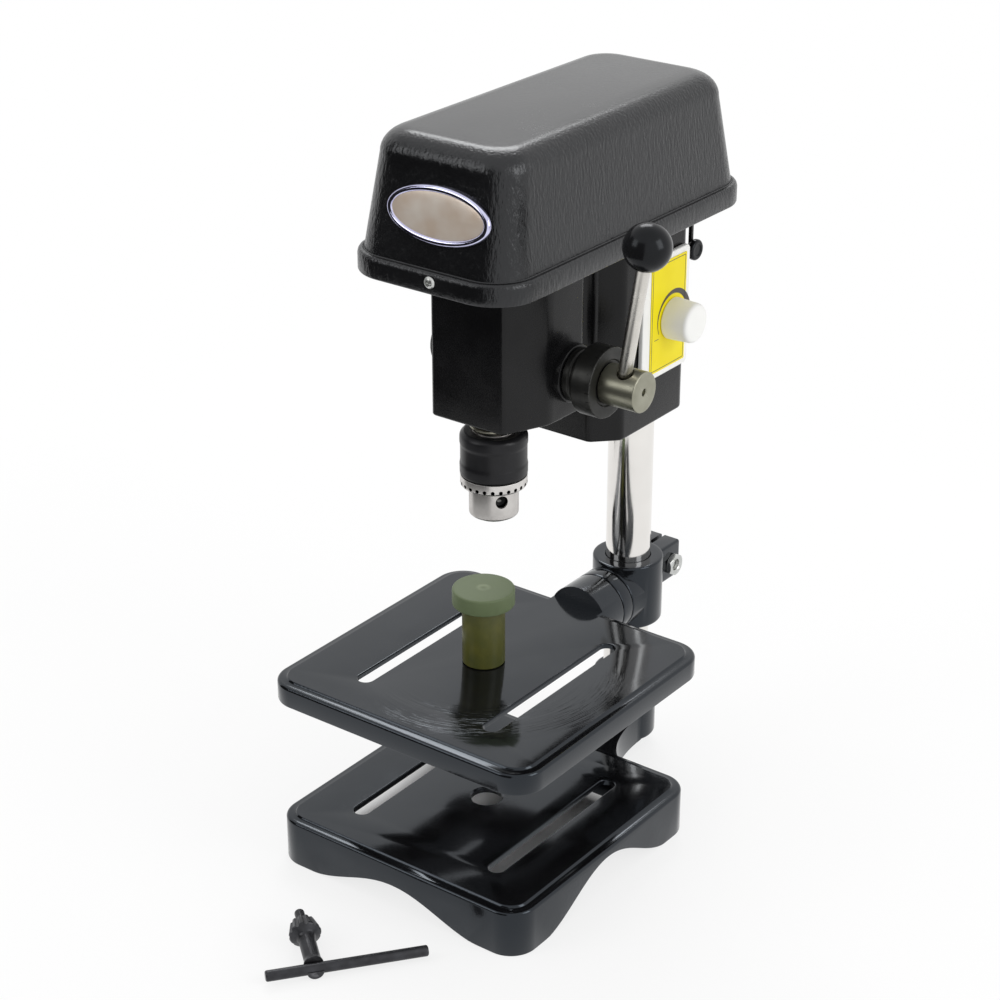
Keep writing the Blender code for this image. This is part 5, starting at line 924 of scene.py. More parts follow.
@dataclass
class Stand:
    """Base casting with its column.

    Attributes:
        slab: The base plate.
        arches: Height of the side arches and of the front arch between the feet.
        arch_half: Half length of an arch.
        socket_radius: Outer radius of the column socket.
        socket_top: Height of the socket.
        column_radius: Radius of the column.
    """

    slab: Slab = field(default_factory=lambda: Slab(81.3, -215.2, -53.5, 15.5, 0.0, 27.5, 6.5, 3.2,
                                                    45.5, (-189.0, -80.0)))
    arches: tuple[float, float] = (21.5, 14.0)
    arch_half: float = 60.0
    socket_radius: float = 18.1
    socket_top: float = 48.0
    column_radius: float = 12.7

    def arch(self, centre: float, height: float) -> Outline:
        """Return the outline of an arch along one direction."""
        curve = [(centre + s * self.arch_half, height * (1 + math.cos(math.pi * s)) / 2)
                 for s in (k / 24 - 1 for k in range(49))]
        low = -OVERRUN
        return [(centre + self.arch_half, low), (centre - self.arch_half, low)] + curve[1:-1]

    def base(self) -> bpy.types.Object:
        """Return the arched base with the flared neck and the column socket."""
        slab = self.slab
        body = slab.solid("base_plate")
        side = prism("side_arch", self.arch((slab.front + slab.rear) / 2, self.arches[0]),
                     -slab.half - OVERRUN, slab.half + OVERRUN)
        side.data.transform(Matrix(((0, 0, 1, 0), (1, 0, 0, 0), (0, 1, 0, 0), (0, 0, 0, 1))))
        front = prism("front_arch", self.arch(0.0, self.arches[1]), slab.front - OVERRUN, -134.0)
        front.data.transform(Matrix(((1, 0, 0, 0), (0, 0, 1, 0), (0, 1, 0, 0), (0, 0, 0, 1))))
        front.data.flip_normals()
        carve(body, [side, front])
        flank = [(41.0 - 24.5 * math.sin(a), -6.0 - 50.7 * math.cos(a))
                 for a in (math.radians(90 * k / 16) for k in range(17))]
        neck = prism("neck", flank + [(-x, y) for x, y in flank[::-1]], 7.5, 24.6, 1.4)
        socket = lathe("socket", [(0, 7.5), (self.socket_radius, 7.5),
                                  (self.socket_radius, self.socket_top), (0, self.socket_top)],
                       1.8)
        carve(body, [neck, socket], Cut.JOIN)
        bore = lathe("bore", [(0, 12.2), (13.0, 12.2), (13.0, 47.0), (14.2, self.socket_top + 0.1),
                              (14.2, 52.0), (0, 52.0)], 0.0)
        hole = lathe("hole", [(0, -OVERRUN), (8.5, -OVERRUN), (8.5, 26.7), (9.5, 27.6),
                              (9.5, 31.0), (0, 31.0)], 0.0, place=(0, -133.4, 0))
        screw = lathe("screw", [(0, 6), (3.3, 6), (3.3, 21), (0, 21)], 0.0, 24, Axis.Y,
                      (0, 0, 36.0))
        return carve(body, [bore, hole, screw] + slab.slots())

    def build(self) -> None:
        """Build and dress the stand."""
        put(self.base(), "stand", CAST, ["base_casting"])
        radius = self.column_radius
        put(lathe("column_tube", [(9.9, 12.5), (radius, 12.5), (radius, 327.0), (9.9, 327.0)],
                  0.9, 128, ring=True), "stand", CHROME, ["column"])
        dress_node("column_set_screw", DARK_STEEL, (0, 0, 36), Axis.Y)


@dataclass
class Table:
    """Tilting table with its collar on the column.

    Attributes:
        slab: The table plate.
        tilt_z: Height of the tilting axis.
        tilt_radius: Radius of barrel and ring.
        collar_radius: Outer radius of the collar.
        lug_half: Half width over both lugs.
        clamp: Y and Z of the clamp bolt.
    """

    slab: Slab = field(default_factory=lambda: Slab(84.5, -214.8, -48.9, 16.5, 97.0, 110.0, 7.0,
                                                    2.8, 41.5, (-187.6, -76.3)))
    tilt_z: float = 101.4
    tilt_radius: float = 18.5
    collar_radius: float = 20.0
    lug_half: float = 11.2
    clamp: tuple[float, float] = (29.2, 106.8)

    def plate(self) -> bpy.types.Object:
        """Return the table with its rib and the barrel at its rear edge."""
        slab = self.slab
        body = slab.solid("table_plate")
        rib = box("rib", (-7, -118, 87), (7, slab.rear - 3.5, slab.top - 1.4), 1.2)
        barrel = lathe("barrel", [(0, -55.9), (self.tilt_radius, -55.9),
                                  (self.tilt_radius, -30.3), (0, -30.3)], 1.0, 96, Axis.Y,
                       (0, 0, self.tilt_z))
        above = box("above", (-21, -60, slab.top), (21, slab.rear, 125))
        carve(barrel, [above])
        carve(body, [rib, barrel], Cut.JOIN)
        stud = lathe("stud_bore", [(0, -44.3), (5.25, -44.3), (5.25, -27), (0, -27)], 0.0, 48,
                     Axis.Y, (0, 0, self.tilt_z))
        lock = lathe("lock_bore", [(0, 79), (3.3, 79), (3.3, self.tilt_z), (0, self.tilt_z)],
                     0.0, 32, place=(0, -39.5, 0))
        return carve(body, [stud, lock] + slab.slots())

    def collar(self) -> bpy.types.Object:
        """Return the split collar with lugs and boss."""
        radius = self.collar_radius
        body = lathe("collar_clamp", [(0, 83), (radius, 83, 2.0), (radius, 122, 1.4), (0, 122)])
        boss = lathe("boss", [(0, -21), (self.tilt_radius, -21, 1.2), (self.tilt_radius, -6.3),
                              (0, -6.3)], 0.4, 96, Axis.Y, (0, 0, self.tilt_z))
        lugs = box("lugs", (-self.lug_half, 12.7, 97.5), (self.lug_half, 37.2, 119.5), 1.5, 4)
        carve(body, [boss, lugs], Cut.JOIN)
        bore = lathe("bore", [(0, 80), (13.3, 80), (13.3, 82.9), (12.9, 83.4), (12.9, 121.6),
                              (13.2, 122.1), (13.2, 125), (0, 125)], 0.0, 128)
        slit = box("slit", (-1.3, 0, 80), (1.3, 40, 125))
        bolt = lathe("bolt_bore", [(0, -15), (3.3, -15), (3.3, 15), (0, 15)], 0.0, 32, Axis.X,
                     (0, *self.clamp))
        stud = lathe("stud_bore", [(0, -25), (5.3, -25), (5.3, 0), (0, 0)], 0.0, 32, Axis.Y,
                     (0, 0, self.tilt_z))
        return carve(body, [bore, slit, bolt, stud])

    def hexagon(self, name: str, low: float, high: float) -> bpy.types.Object:
        """Return a hexagon along X with turned-down corners."""
        across = 12.0 / math.sqrt(3)
        outline = [(across * math.cos(math.pi / 3 * k), across * math.sin(math.pi / 3 * k))
                   for k in range(6)]
        body = prism(name, outline, low, high)
        crown = lathe("crown", [(0, low), (6.1, low), (7.0, low + 0.8), (7.0, high - 0.8),
                                (6.1, high), (0, high)], 0.0, 64)
        carve(body, [crown], Cut.SHARED)
        return moved(body, (0, *self.clamp), Axis.X.matrix())

    def build(self) -> None:
        """Build and dress table, collar and clamp."""
        put(self.plate(), "table", TABLE_PAINT, ["table_casting"])
        dress_node("tilt_lock_screw", DARK_STEEL, (0, -39.5, 0))
        tilt = (0.0, 0.0, self.tilt_z)
        put(lathe("tilt_washer", [(5.25, -30.0), (self.tilt_radius, -30.0),
                                  (self.tilt_radius, -21.3), (5.25, -21.3)], 1.0, 96, Axis.Y,
                  tilt, ring=True), "collar", CAST, ["tilt_ring"], tilt, Axis.Y)
        put(lathe("tilt_pin", [(0, -44), (5, -44), (5, -15.2), (0, -15.2)], 0.6, 48, Axis.Y,
                  tilt), "collar", BRIGHT, ["tilt_stud"], tilt, Axis.Y)
        put(self.collar(), "collar", CAST, ["table_collar"])
        lug = self.lug_half
        middle = (0.0, *self.clamp)
        bolt = self.hexagon("clamp_bolt_steel", -lug - 4.8, -lug - 0.3)
        shank = lathe("shank", [(0, -lug - 3), (3.0, -lug - 3), (3.0, lug + 0.6),
                                (0, lug + 0.6)], 0.3, 32, Axis.X, middle)
        put(carve(bolt, [shank], Cut.JOIN), "collar", ZINC, ["clamp_bolt"], middle, Axis.X)
        nut = self.hexagon("clamp_nut_steel", lug + 0.2, lug + 3.2)
        bore = lathe("nut_bore", [(0, lug - 2), (3.3, lug - 2), (3.3, lug + 2.7),
                                  (3.9, lug + 3.3), (3.9, lug + 9), (0, lug + 9)], 0.0, 32,
                     Axis.X, middle)
        put(carve(nut, [bore]), "clamp_nut", ZINC, ["clamp_nut"], middle, Axis.X)


@dataclass
class Head:
    """Head casting with column block, spindle housing and feed boss.

    Attributes:
        top: Height of the machined top face.
        block_bottom: Underside of the column block.
        housing_bottom: Underside of the spindle housing.
        boss_face: Distance of the boss's faces from the middle.
        boss_radius: Radius of the feed boss.
    """

    top: float = 335.7
    block_bottom: float = 221.8
    housing_bottom: float = 253.0
    boss_face: float = 37.2
    boss_radius: float = 15.2

    @staticmethod
    def mirrored(side: Sequence[Sequence[float]]) -> Outline:
        """Mirror a right-hand side onto the left and round the corners that ask for it."""
        left = [(-point[0], *point[1:]) for point in reversed(side)]
        return softened([*side, *left], 0.0, 6, True)

    def housing_plan(self) -> Outline:
        """Return the plan of the housing: a chamfered nose and a waisted web."""
        side: list[tuple[float, ...]] = [(22.2, -149.0, 2.4), (33.2, -124.0, 3.0)]
        side += [(18.5 + 7.75 * (1 + math.cos(math.pi * s)), -99.0 + 18.0 * s)
                 for s in (k / 24 for k in range(25))]
        side += [(18.5 + 5.5 * (1 - math.cos(a)), -79.0 + 6.9 * math.sin(a))
                 for a in (math.radians(15 * k) for k in range(7))]
        return self.mirrored(side + [(24.0, -66.0)])

    def block_plan(self) -> Outline:
        """Return the plan of the column block."""
        return self.mirrored([(21.0, -72.5, 2.4), (33.7, -59.7, 2.4), (33.7, -4.0, 2.0),
                              (17.5, 20.0, 2.0)])

    def casting(self) -> bpy.types.Object:
        """Return the casting with its bores and the control pocket."""
        body = prism("head_body", self.block_plan(), self.block_bottom, self.top, 1.6, 4)
        housing = prism("housing", self.housing_plan(), self.housing_bottom, self.top, 1.8, 4)
        boss = lathe("boss", [(0, -self.boss_face), (self.boss_radius, -self.boss_face),
                              (self.boss_radius, self.boss_face), (0, self.boss_face)], 1.2,
                     96, Axis.X, (0, FEED_Y, FEED_Z))
        carve(body, [housing, boss], Cut.JOIN)
        spindle = (0.0, SPINDLE_Y, 0.0)
        quill = lathe("quill_bore", [(0, 248), (12.0, 248), (12.0, 252.9), (11.25, 253.8),
                                     (11.25, 328.7), (13.8, 328.7), (13.8, 340), (0, 340)],
                      0.0, 96, place=spindle)
        feed = lathe("feed_bore", [(0, -45), (11, -45), (11, 45), (0, 45)], 0.0, 64, Axis.X,
                     (0, FEED_Y, FEED_Z))
        column = lathe("column_bore", [(0, 213), (14.0, 213), (14.0, 221.7), (13.0, 222.9),
                                       (13.0, 327.3), (0, 327.3)], 0.0, 96)
        pocket = box("pocket", (18.5, -43.5, 255.5), (38, -8.5, 304.5))
        holes = [lathe("screw_bore", [(0, 6), (3.3, 6), (3.3, 24), (0, 24)], 0.0, 32, Axis.Y,
                       (0, 0, z)) for z in (246.0, 300.0)]
        return carve(body, [quill, feed, column, pocket] + holes)

    def build(self) -> None:
        """Build and dress the casting and its deck."""
        put(self.casting(), "head", HEAD_PAINT, ["head_casting"])
        for name, z in (("head_screw_lower", 246.0), ("head_screw_upper", 300.0)):
            dress_node(name, DARK_STEEL, (0, 0, z), Axis.Y)
        dress_node("deck_tray", DARK_STEEL)
        dress_node("pulley_bearing", BRIGHT, (0, SPINDLE_Y, 0))


@dataclass
class Control:
    """Speed control on the right side of the head.

    Attributes:
        face: X of the casting's side.
        plate: Thickness of the cover plate.
        dial: Y and Z of the knob's axis.
        front: Front edge of the plate.
        rear: Rear edge of the plate.
        bottom: Lower edge of the plate.
        top: Upper edge of the plate.
    """

    face: float = 33.7
    plate: float = 2.8
    dial: tuple[float, float] = (-20.4, 279.8)
    front: float = -47.0
    rear: float = -4.0
    bottom: float = 249.7
    top: float = 316.5

    @staticmethod
    def facing(item: bpy.types.Object) -> bpy.types.Object:
        """Turn a shape drawn with X up and Y across so that it faces +X."""
        item.data.transform(Matrix(((0, 0, 1, 0), (0, 1, 0, 0), (1, 0, 0, 0), (0, 0, 0, 1))))
        item.data.flip_normals()
        return item

    def sheet(self, name: str, inset: Sequence[float], corner: float, low: float, high: float,
              edge: float) -> bpy.types.Object:
        """Return a plate parallel to the casting's side.

        Args:
            name: Name of the new object.
            inset: Distance from the plate's front, rear, bottom and top edges.
            corner: Corner radius.
            low: Inner face.
            high: Outer face.
            edge: Rounding of its edges.

        Returns:
            The plate.
        """
        bottom, top = self.bottom + inset[2], self.top - inset[3]
        outline = rectangle((top - bottom) / 2, self.front + inset[0], self.rear - inset[1],
                            corner, 8)
        middle = (top + bottom) / 2
        return self.facing(prism(name, [(x + middle, y) for x, y in outline], low, high, edge))

    def bore(self, radius: float) -> bpy.types.Object:
        """Return the cutter of the shaft hole."""
        return lathe("dial_bore", [(0, 28), (radius, 28), (radius, 42), (0, 42)], 0.0, 48,
                     Axis.X, (0, *self.dial))

    def print_marks(self, low: float) -> bpy.types.Object:
        """Return the printed frame line and the crescent that grows clockwise."""
        thick = 0.05
        outer = self.sheet("label_print", (7.6, 4.9, 4.6, 4.4), 0.8, low, low + thick, 0.0)
        inner = self.sheet("inner", (7.95, 5.25, 4.95, 4.75), 0.6, low - 1, low + 1, 0.0)
        carve(outer, [inner])
        y, z = self.dial
        arcs = []
        for share in (k / 40 for k in range(41)):
            angle = math.radians(205 - 190 * share)
            width = 0.35 + 3.5 * share ** 1.2
            arcs.append((angle, 13.4, 13.4 + width))
        loop = [(r1 * math.sin(a) + z, r1 * math.cos(a) + y) for a, _, r1 in arcs]
        loop += [(r0 * math.sin(a) + z, r0 * math.cos(a) + y) for a, r0, _ in arcs[::-1]]
        crescent = self.facing(prism("crescent", loop, low, low + thick))
        tick = box("tick", (low, y - 16.4, z - 8.4), (low + thick, y - 12.6, z - 8.05))
        for part in (crescent, tick):
            join_mesh(outer, part)
        return outer

    def knob(self, low: float) -> bpy.types.Object:
        """Return the knob with its shaft."""
        return lathe("speed_knob_cap", [(0, self.face - 4), (3, self.face - 4, 0.2),
                                        (3, low, 0.1), (11.3, low, 0.5),
                                        (10.6, low + 15.2, 2.4), (0, low + 15.2)],
                     0.4, 128, Axis.X, (0, *self.dial))

    def build(self) -> None:
        """Build and dress the control."""
        low = self.face + 0.3
        high = low + self.plate
        plate = carve(self.sheet("cover_plate", (0, 0, 0, 0), 3.0, low, high, 0.7),
                      [self.bore(3.6)])
        put(plate, "head", WHITE, ["control_plate"])
        label = carve(self.sheet("scale_label", (6.5, 3.8, 3.5, 3.3), 0.6, high + 0.1,
                                 high + 0.5, 0.08), [self.bore(3.6)])
        put(label, "head", YELLOW, ["dial_label"])
        put(self.print_marks(high + 0.5), "head", PRINT)
        dial = (0.0, *self.dial)
        put(self.knob(high + 0.8), "speed_knob", WHITE, ["speed_knob"], dial, Axis.X)
        dress_node("potentiometer", ZINC, dial, Axis.X)
        dress_node("control_board", BOARD)


def join_mesh(item: bpy.types.Object, other: bpy.types.Object) -> bpy.types.Object:
    """Add another shape's mesh to a shape as it is; the other object is used up."""
    bm = bmesh.new()
    bm.from_mesh(item.data)
    bm.from_mesh(other.data)
    bm.to_mesh(item.data)
    bm.free()
    bpy.data.objects.remove(other)
    return item


@dataclass
class Feed:
    """Feed shaft with its bushes, stop ring, hub, lever and return spring.

    Attributes:
        centre: Middle of the feed axis.
        forward: Forward lean of the lever at rest.
        outward: Outward lean of the lever.
        ball_radius: Radius of the ball.
        reach: Distance of the ball's centre from the axis, along the lever.
        rod_radius: Radius of the rod at the hub and at the ball.
    """

    centre: Point = (0.0, FEED_Y, FEED_Z)
    forward: float = math.radians(22.0)
    outward: float = math.radians(20.4)
    ball_radius: float = 11.7
    reach: float = 104.0
    rod_radius: tuple[float, float] = (3.6, 3.4)

    def turned(self, name: str, points: Sequence[Sequence[float]], radius: float,
               ring: bool = True, axis: Axis = Axis.X, steps: int = 96) -> bpy.types.Object:
        """Return a shape turned about the feed axis."""
        return lathe(name, points, radius, steps, axis, self.centre, ring)

    def on_lever(self, item: bpy.types.Object) -> bpy.types.Object:
        """Move a shape drawn along Z onto the lever's axis."""
        turn = Matrix.Rotation(self.forward, 4, "X") @ Matrix.Rotation(self.outward, 4, "Y")
        return moved(item, (LEVER_X, self.centre[1], self.centre[2]), turn)

    def hub(self) -> bpy.types.Object:
        """Return the hub with its sleeve, lever bore and centre hole."""
        body = self.turned("lever_hub", [(0, 46.0), (8.3, 46.0, 0.3), (8.3, 56.8, 0.1),
                                         (10.5, 56.8, 0.5), (10.5, 77.8, 0.8), (0, 77.8)], 0.7,
                           ring=False, steps=128)
        shaft = self.turned("shaft_bore", [(0, 44), (6.3, 44), (6.3, 62.0), (0, 62.0)], 0.0,
                            ring=False)
        centre = self.turned("centre_hole", [(0, 73.2), (1.8, 74.4), (1.8, 77.2), (2.2, 77.8),
                                             (2.2, 79.5), (0, 79.5)], 0.0, ring=False, steps=32)
        lever = self.on_lever(lathe("lever_bore", [(0, 4.2), (3.9, 4.2), (3.9, 9.4),
                                                   (4.6, 10.4), (4.6, 16.5), (0, 16.5)], 0.0, 64))
        return carve(body, [shaft, centre, lever])

    def rod(self) -> bpy.types.Object:
        """Return the tapered lever rod with its narrowed ends."""
        root, tip = self.rod_radius
        end = self.reach - self.ball_radius + 8.0
        return self.on_lever(lathe("lever_rod", [
            (0, 4.5), (3.1, 4.5, 0.3), (3.1, 11.6, 0.2), (root, 12.9, 0.6), (tip, end - 9.0, 0.3),
            (tip, end), (0, end)], 0.2, 64))

    def ball(self) -> bpy.types.Object:
        """Return the ball with the hole that the rod ends in."""
        radius, reach = self.ball_radius, self.reach
        mouth = self.rod_radius[1] + 0.05
        start = -math.acos(mouth / radius)
        arc = [(radius * math.cos(a), reach + radius * math.sin(a))
               for a in (start + (math.pi / 2 - start) * k / 56 for k in range(57))]
        floor = reach - radius + 8.1
        return self.on_lever(lathe("lever_ball_knob", [(0, floor), (mouth, floor)] + arc, 0.1,
                                   96))

    def spring(self) -> bpy.types.Object:
        """Return the flat spiral spring."""
        turns, first, last, thick = 3.25, 6.6, 12.0, 0.9
        outer, inner = [], []
        for share in (k / 200 for k in range(201)):
            angle = 2 * math.pi * turns * share
            radius = first + (last - first) * share
            outer.append(((radius + thick) * math.cos(angle), (radius + thick) * math.sin(angle)))
            inner.append((radius * math.cos(angle), radius * math.sin(angle)))
        return moved(prism("spiral_spring", outer + inner[::-1], 39.2, 43.0), self.centre,
                     Axis.LEFT.matrix())

    def stop(self) -> bpy.types.Object:
        """Return the depth stop ring with its recess and the marks round its face."""
        ring = self.turned("depth_ring", [
            (8.55, 45.7), (18.3, 45.7, 0.8), (18.3, 57.3, 0.8), (12.3, 57.3, 0.3),
            (11.7, 56.3, 0.3), (8.55, 56.3)], 0.2, steps=128)
        marks = RingPattern("depth_marks", Spoke.BAR, 24, 18.4, 0.35, 2.6, 1.0).mesh()
        moved(marks, (56.0, self.centre[1], self.centre[2]), Axis.X.matrix())
        return carve(ring, [marks])

    def build(self) -> None:
        """Build and dress the feed."""
        where = self.centre
        bush = [(6.25, 22), (10.7, 22), (10.7, 37.5), (13.9, 37.5, 0.5), (13.9, 40.6, 0.3),
                (13.2, 41.2, 0.2), (13.2, 42.0, 0.2), (13.7, 42.6, 0.3), (13.7, 45.4, 0.6),
                (6.25, 45.4)]
        put(self.turned("feed_bush", bush, 0.2), "head", DARK_STEEL, ["pinion_bush"], where,
            Axis.X)
        left = [(6.25, 22), (10.7, 22), (10.7, 37.5), (13.9, 37.5, 0.4), (13.9, 38.5, 0.4),
                (6.25, 38.5)]
        put(self.turned("feed_bush_left", left, 0.2, axis=Axis.LEFT), "head", DARK_STEEL,
            ["pinion_bush_left"], where, Axis.X)
        put(self.stop(), "stop_ring", DARK_STEEL, ["stop_ring"], where, Axis.X)
        put(self.hub(), "feed_lever", HUB_STEEL, ["feed_hub"], where, Axis.X)
        put(self.rod(), "feed_lever", NICKEL, ["feed_lever"], (LEVER_X, where[1], where[2]))
        put(self.ball(), "feed_lever", BALL_BLACK, ["lever_ball"], where)
        cup = self.turned("spring_housing", [(0, 43.4), (13.2, 43.4, 0.5), (13.2, 38.8),
                                             (14.8, 38.8, 0.3), (14.8, 45.0, 1.4),
                                             (10.2, 45.0, 0.3), (9.8, 44.5, 0.2),
                                             (4.0, 44.5, 0.3), (3.6, 45.0, 0.3), (0, 45.0)],
                          0.2, ring=False, axis=Axis.LEFT)
        put(cup, "head", DARK_STEEL, ["spring_cup"], where, Axis.X)
        put(self.spring(), "head", BRIGHT, ["return_spring"], where, Axis.X)
        dress_node("pinion_shaft", BRIGHT, where, Axis.X)


@dataclass
class Spindle:
    """Quill with its nose, the spindle and the three-jaw chuck.

    Attributes:
        centre: Point on the spindle axis at height zero.
        bore_turn: Direction of the first key bore.
        teeth: Number of teeth on the chuck's ring.
    """

    centre: Point = (0.0, SPINDLE_Y, 0.0)
    bore_turn: float = KEY_BORE_TURN
    teeth: int = 26

    def turned(self, name: str, points: Sequence[Sequence[float]], radius: float = 0.3,
               ring: bool = True) -> bpy.types.Object:
        """Return a shape turned about the spindle axis."""
        return lathe(name, points, radius, 128, Axis.Z, self.centre, ring)

    def jaw_pose(self, index: int) -> Matrix:
        """Return the pose of a jaw's axis, which leans outwards from the nose."""
        around = Matrix.Rotation(self.bore_turn + math.radians(60 + 120 * index), 4, "Z")
        lean = Matrix.Rotation(math.radians(15), 4, "Y")
        return Matrix.Translation(self.centre) @ around @ Matrix.Translation((4.6, 0, 195.3)) @ lean

    def body(self) -> bpy.types.Object:
        """Return the chuck body with its key bores and jaw bores."""
        shape = self.turned("chuck_core", [
            (5.0, 195.3, 0.5), (9.0, 195.3, 0.5), (12.9, 197.5, 0.8), (12.9, 213.2, 0.3),
            (11.2, 213.3), (11.2, 244.0), (5.85, 244.0), (5.15, 228.7), (4.5, 224.0),
            (5.0, 222.0)], 0.2)
        cutters = []
        for index in range(3):
            turn = Matrix.Rotation(self.bore_turn + math.radians(120 * index), 4, "Z")
            bore = lathe("key_bore", [(0, 8.3), (1.2, 8.5), (3.1, 9.4), (3.1, 12.1), (3.5, 12.9),
                                      (3.9, 16), (0, 16)], 0.0, 40, Axis.X)
            cutters.append(moved(bore, (0, SPINDLE_Y, 207.8), turn))
            hole = lathe("jaw_bore", [(0, -6), (2.4, -6), (2.4, 32.5), (0, 32.5)], 0.0, 32)
            hole.data.transform(self.jaw_pose(index))
            cutters.append(hole)
        return carve(shape, cutters)

    def jaw(self, index: int) -> bpy.types.Object:
        """Return one jaw with its gripping flat."""
        shape = lathe(f"gripping_jaw_{index + 1}", [(0, 1.2), (1.2, 1.2), (2.1, 4.7),
                                                    (2.1, 27.7), (0, 27.7)], 0.2, 48)
        shape.data.transform(self.jaw_pose(index))
        return shape

    def tooth_ring(self) -> bpy.types.Object:
        """Return the bright bevelled ring with its teeth."""
        ring = self.turned("chuck_tooth_ring", [
            (13.15, 213.4), (16.8, 213.4, 0.4), (17.35, 214.4, 0.4), (17.35, 219.1, 0.2),
            (13.15, 219.1)], 0.15)
        pitch = math.pi / self.teeth
        notches = RingPattern("tooth_notches", Spoke.ROUND, self.teeth, 16.9, 2.1, 0.0, 5.0,
                              phase=self.bore_turn + pitch).mesh()
        moved(notches, (0, SPINDLE_Y, 215.2))
        return carve(ring, [notches])

    def build(self) -> None:
        """Build and dress spindle and chuck."""
        where = self.centre
        nut = [(6.7, 245.2), (12.2, 245.2, 0.4), (12.5, 246.2, 0.3), (12.5, 247.1, 0.1),
               (11.6, 247.3, 0.1), (11.6, 247.9, 0.1), (12.1, 248.1, 0.1), (12.1, 250.2, 0.2),
               (6.7, 250.2)]
        put(self.turned("quill_nose", nut, 0.1), "quill", NOSE_STEEL, ["nose_nut"], where)
        for name in ("quill", "lower_bearing", "upper_bearing"):
            dress_node(name, BRIGHT, where)
        dress_node("spindle", BRIGHT, where)
        put(self.body(), "spindle", CHUCK_STEEL, ["chuck_body"], where)
        for index in range(3):
            put(self.jaw(index), f"jaw_{index + 1}", BRIGHT, [f"chuck_jaw_{index + 1}"], where)
        sleeve = [(11.45, 238.5), (14.8, 238.5), (14.8, 219.3), (16.6, 219.3, 0.3),
                  (17.5, 220.1, 0.6), (17.6, 225.5, 0.8), (17.25, 226.8, 0.8),
                  (17.25, 235.8, 0.8), (17.6, 237.1, 0.8), (17.55, 241.6, 1.4),
                  (15.4, 243.6, 0.6), (11.45, 243.6)]
        put(self.turned("chuck_sleeve_shell", sleeve, 0.2), "chuck_sleeve", BLACK_OXIDE,
            ["chuck_sleeve"], where)
        put(self.tooth_ring(), "chuck_sleeve", TOOTH_STEEL, (), where)


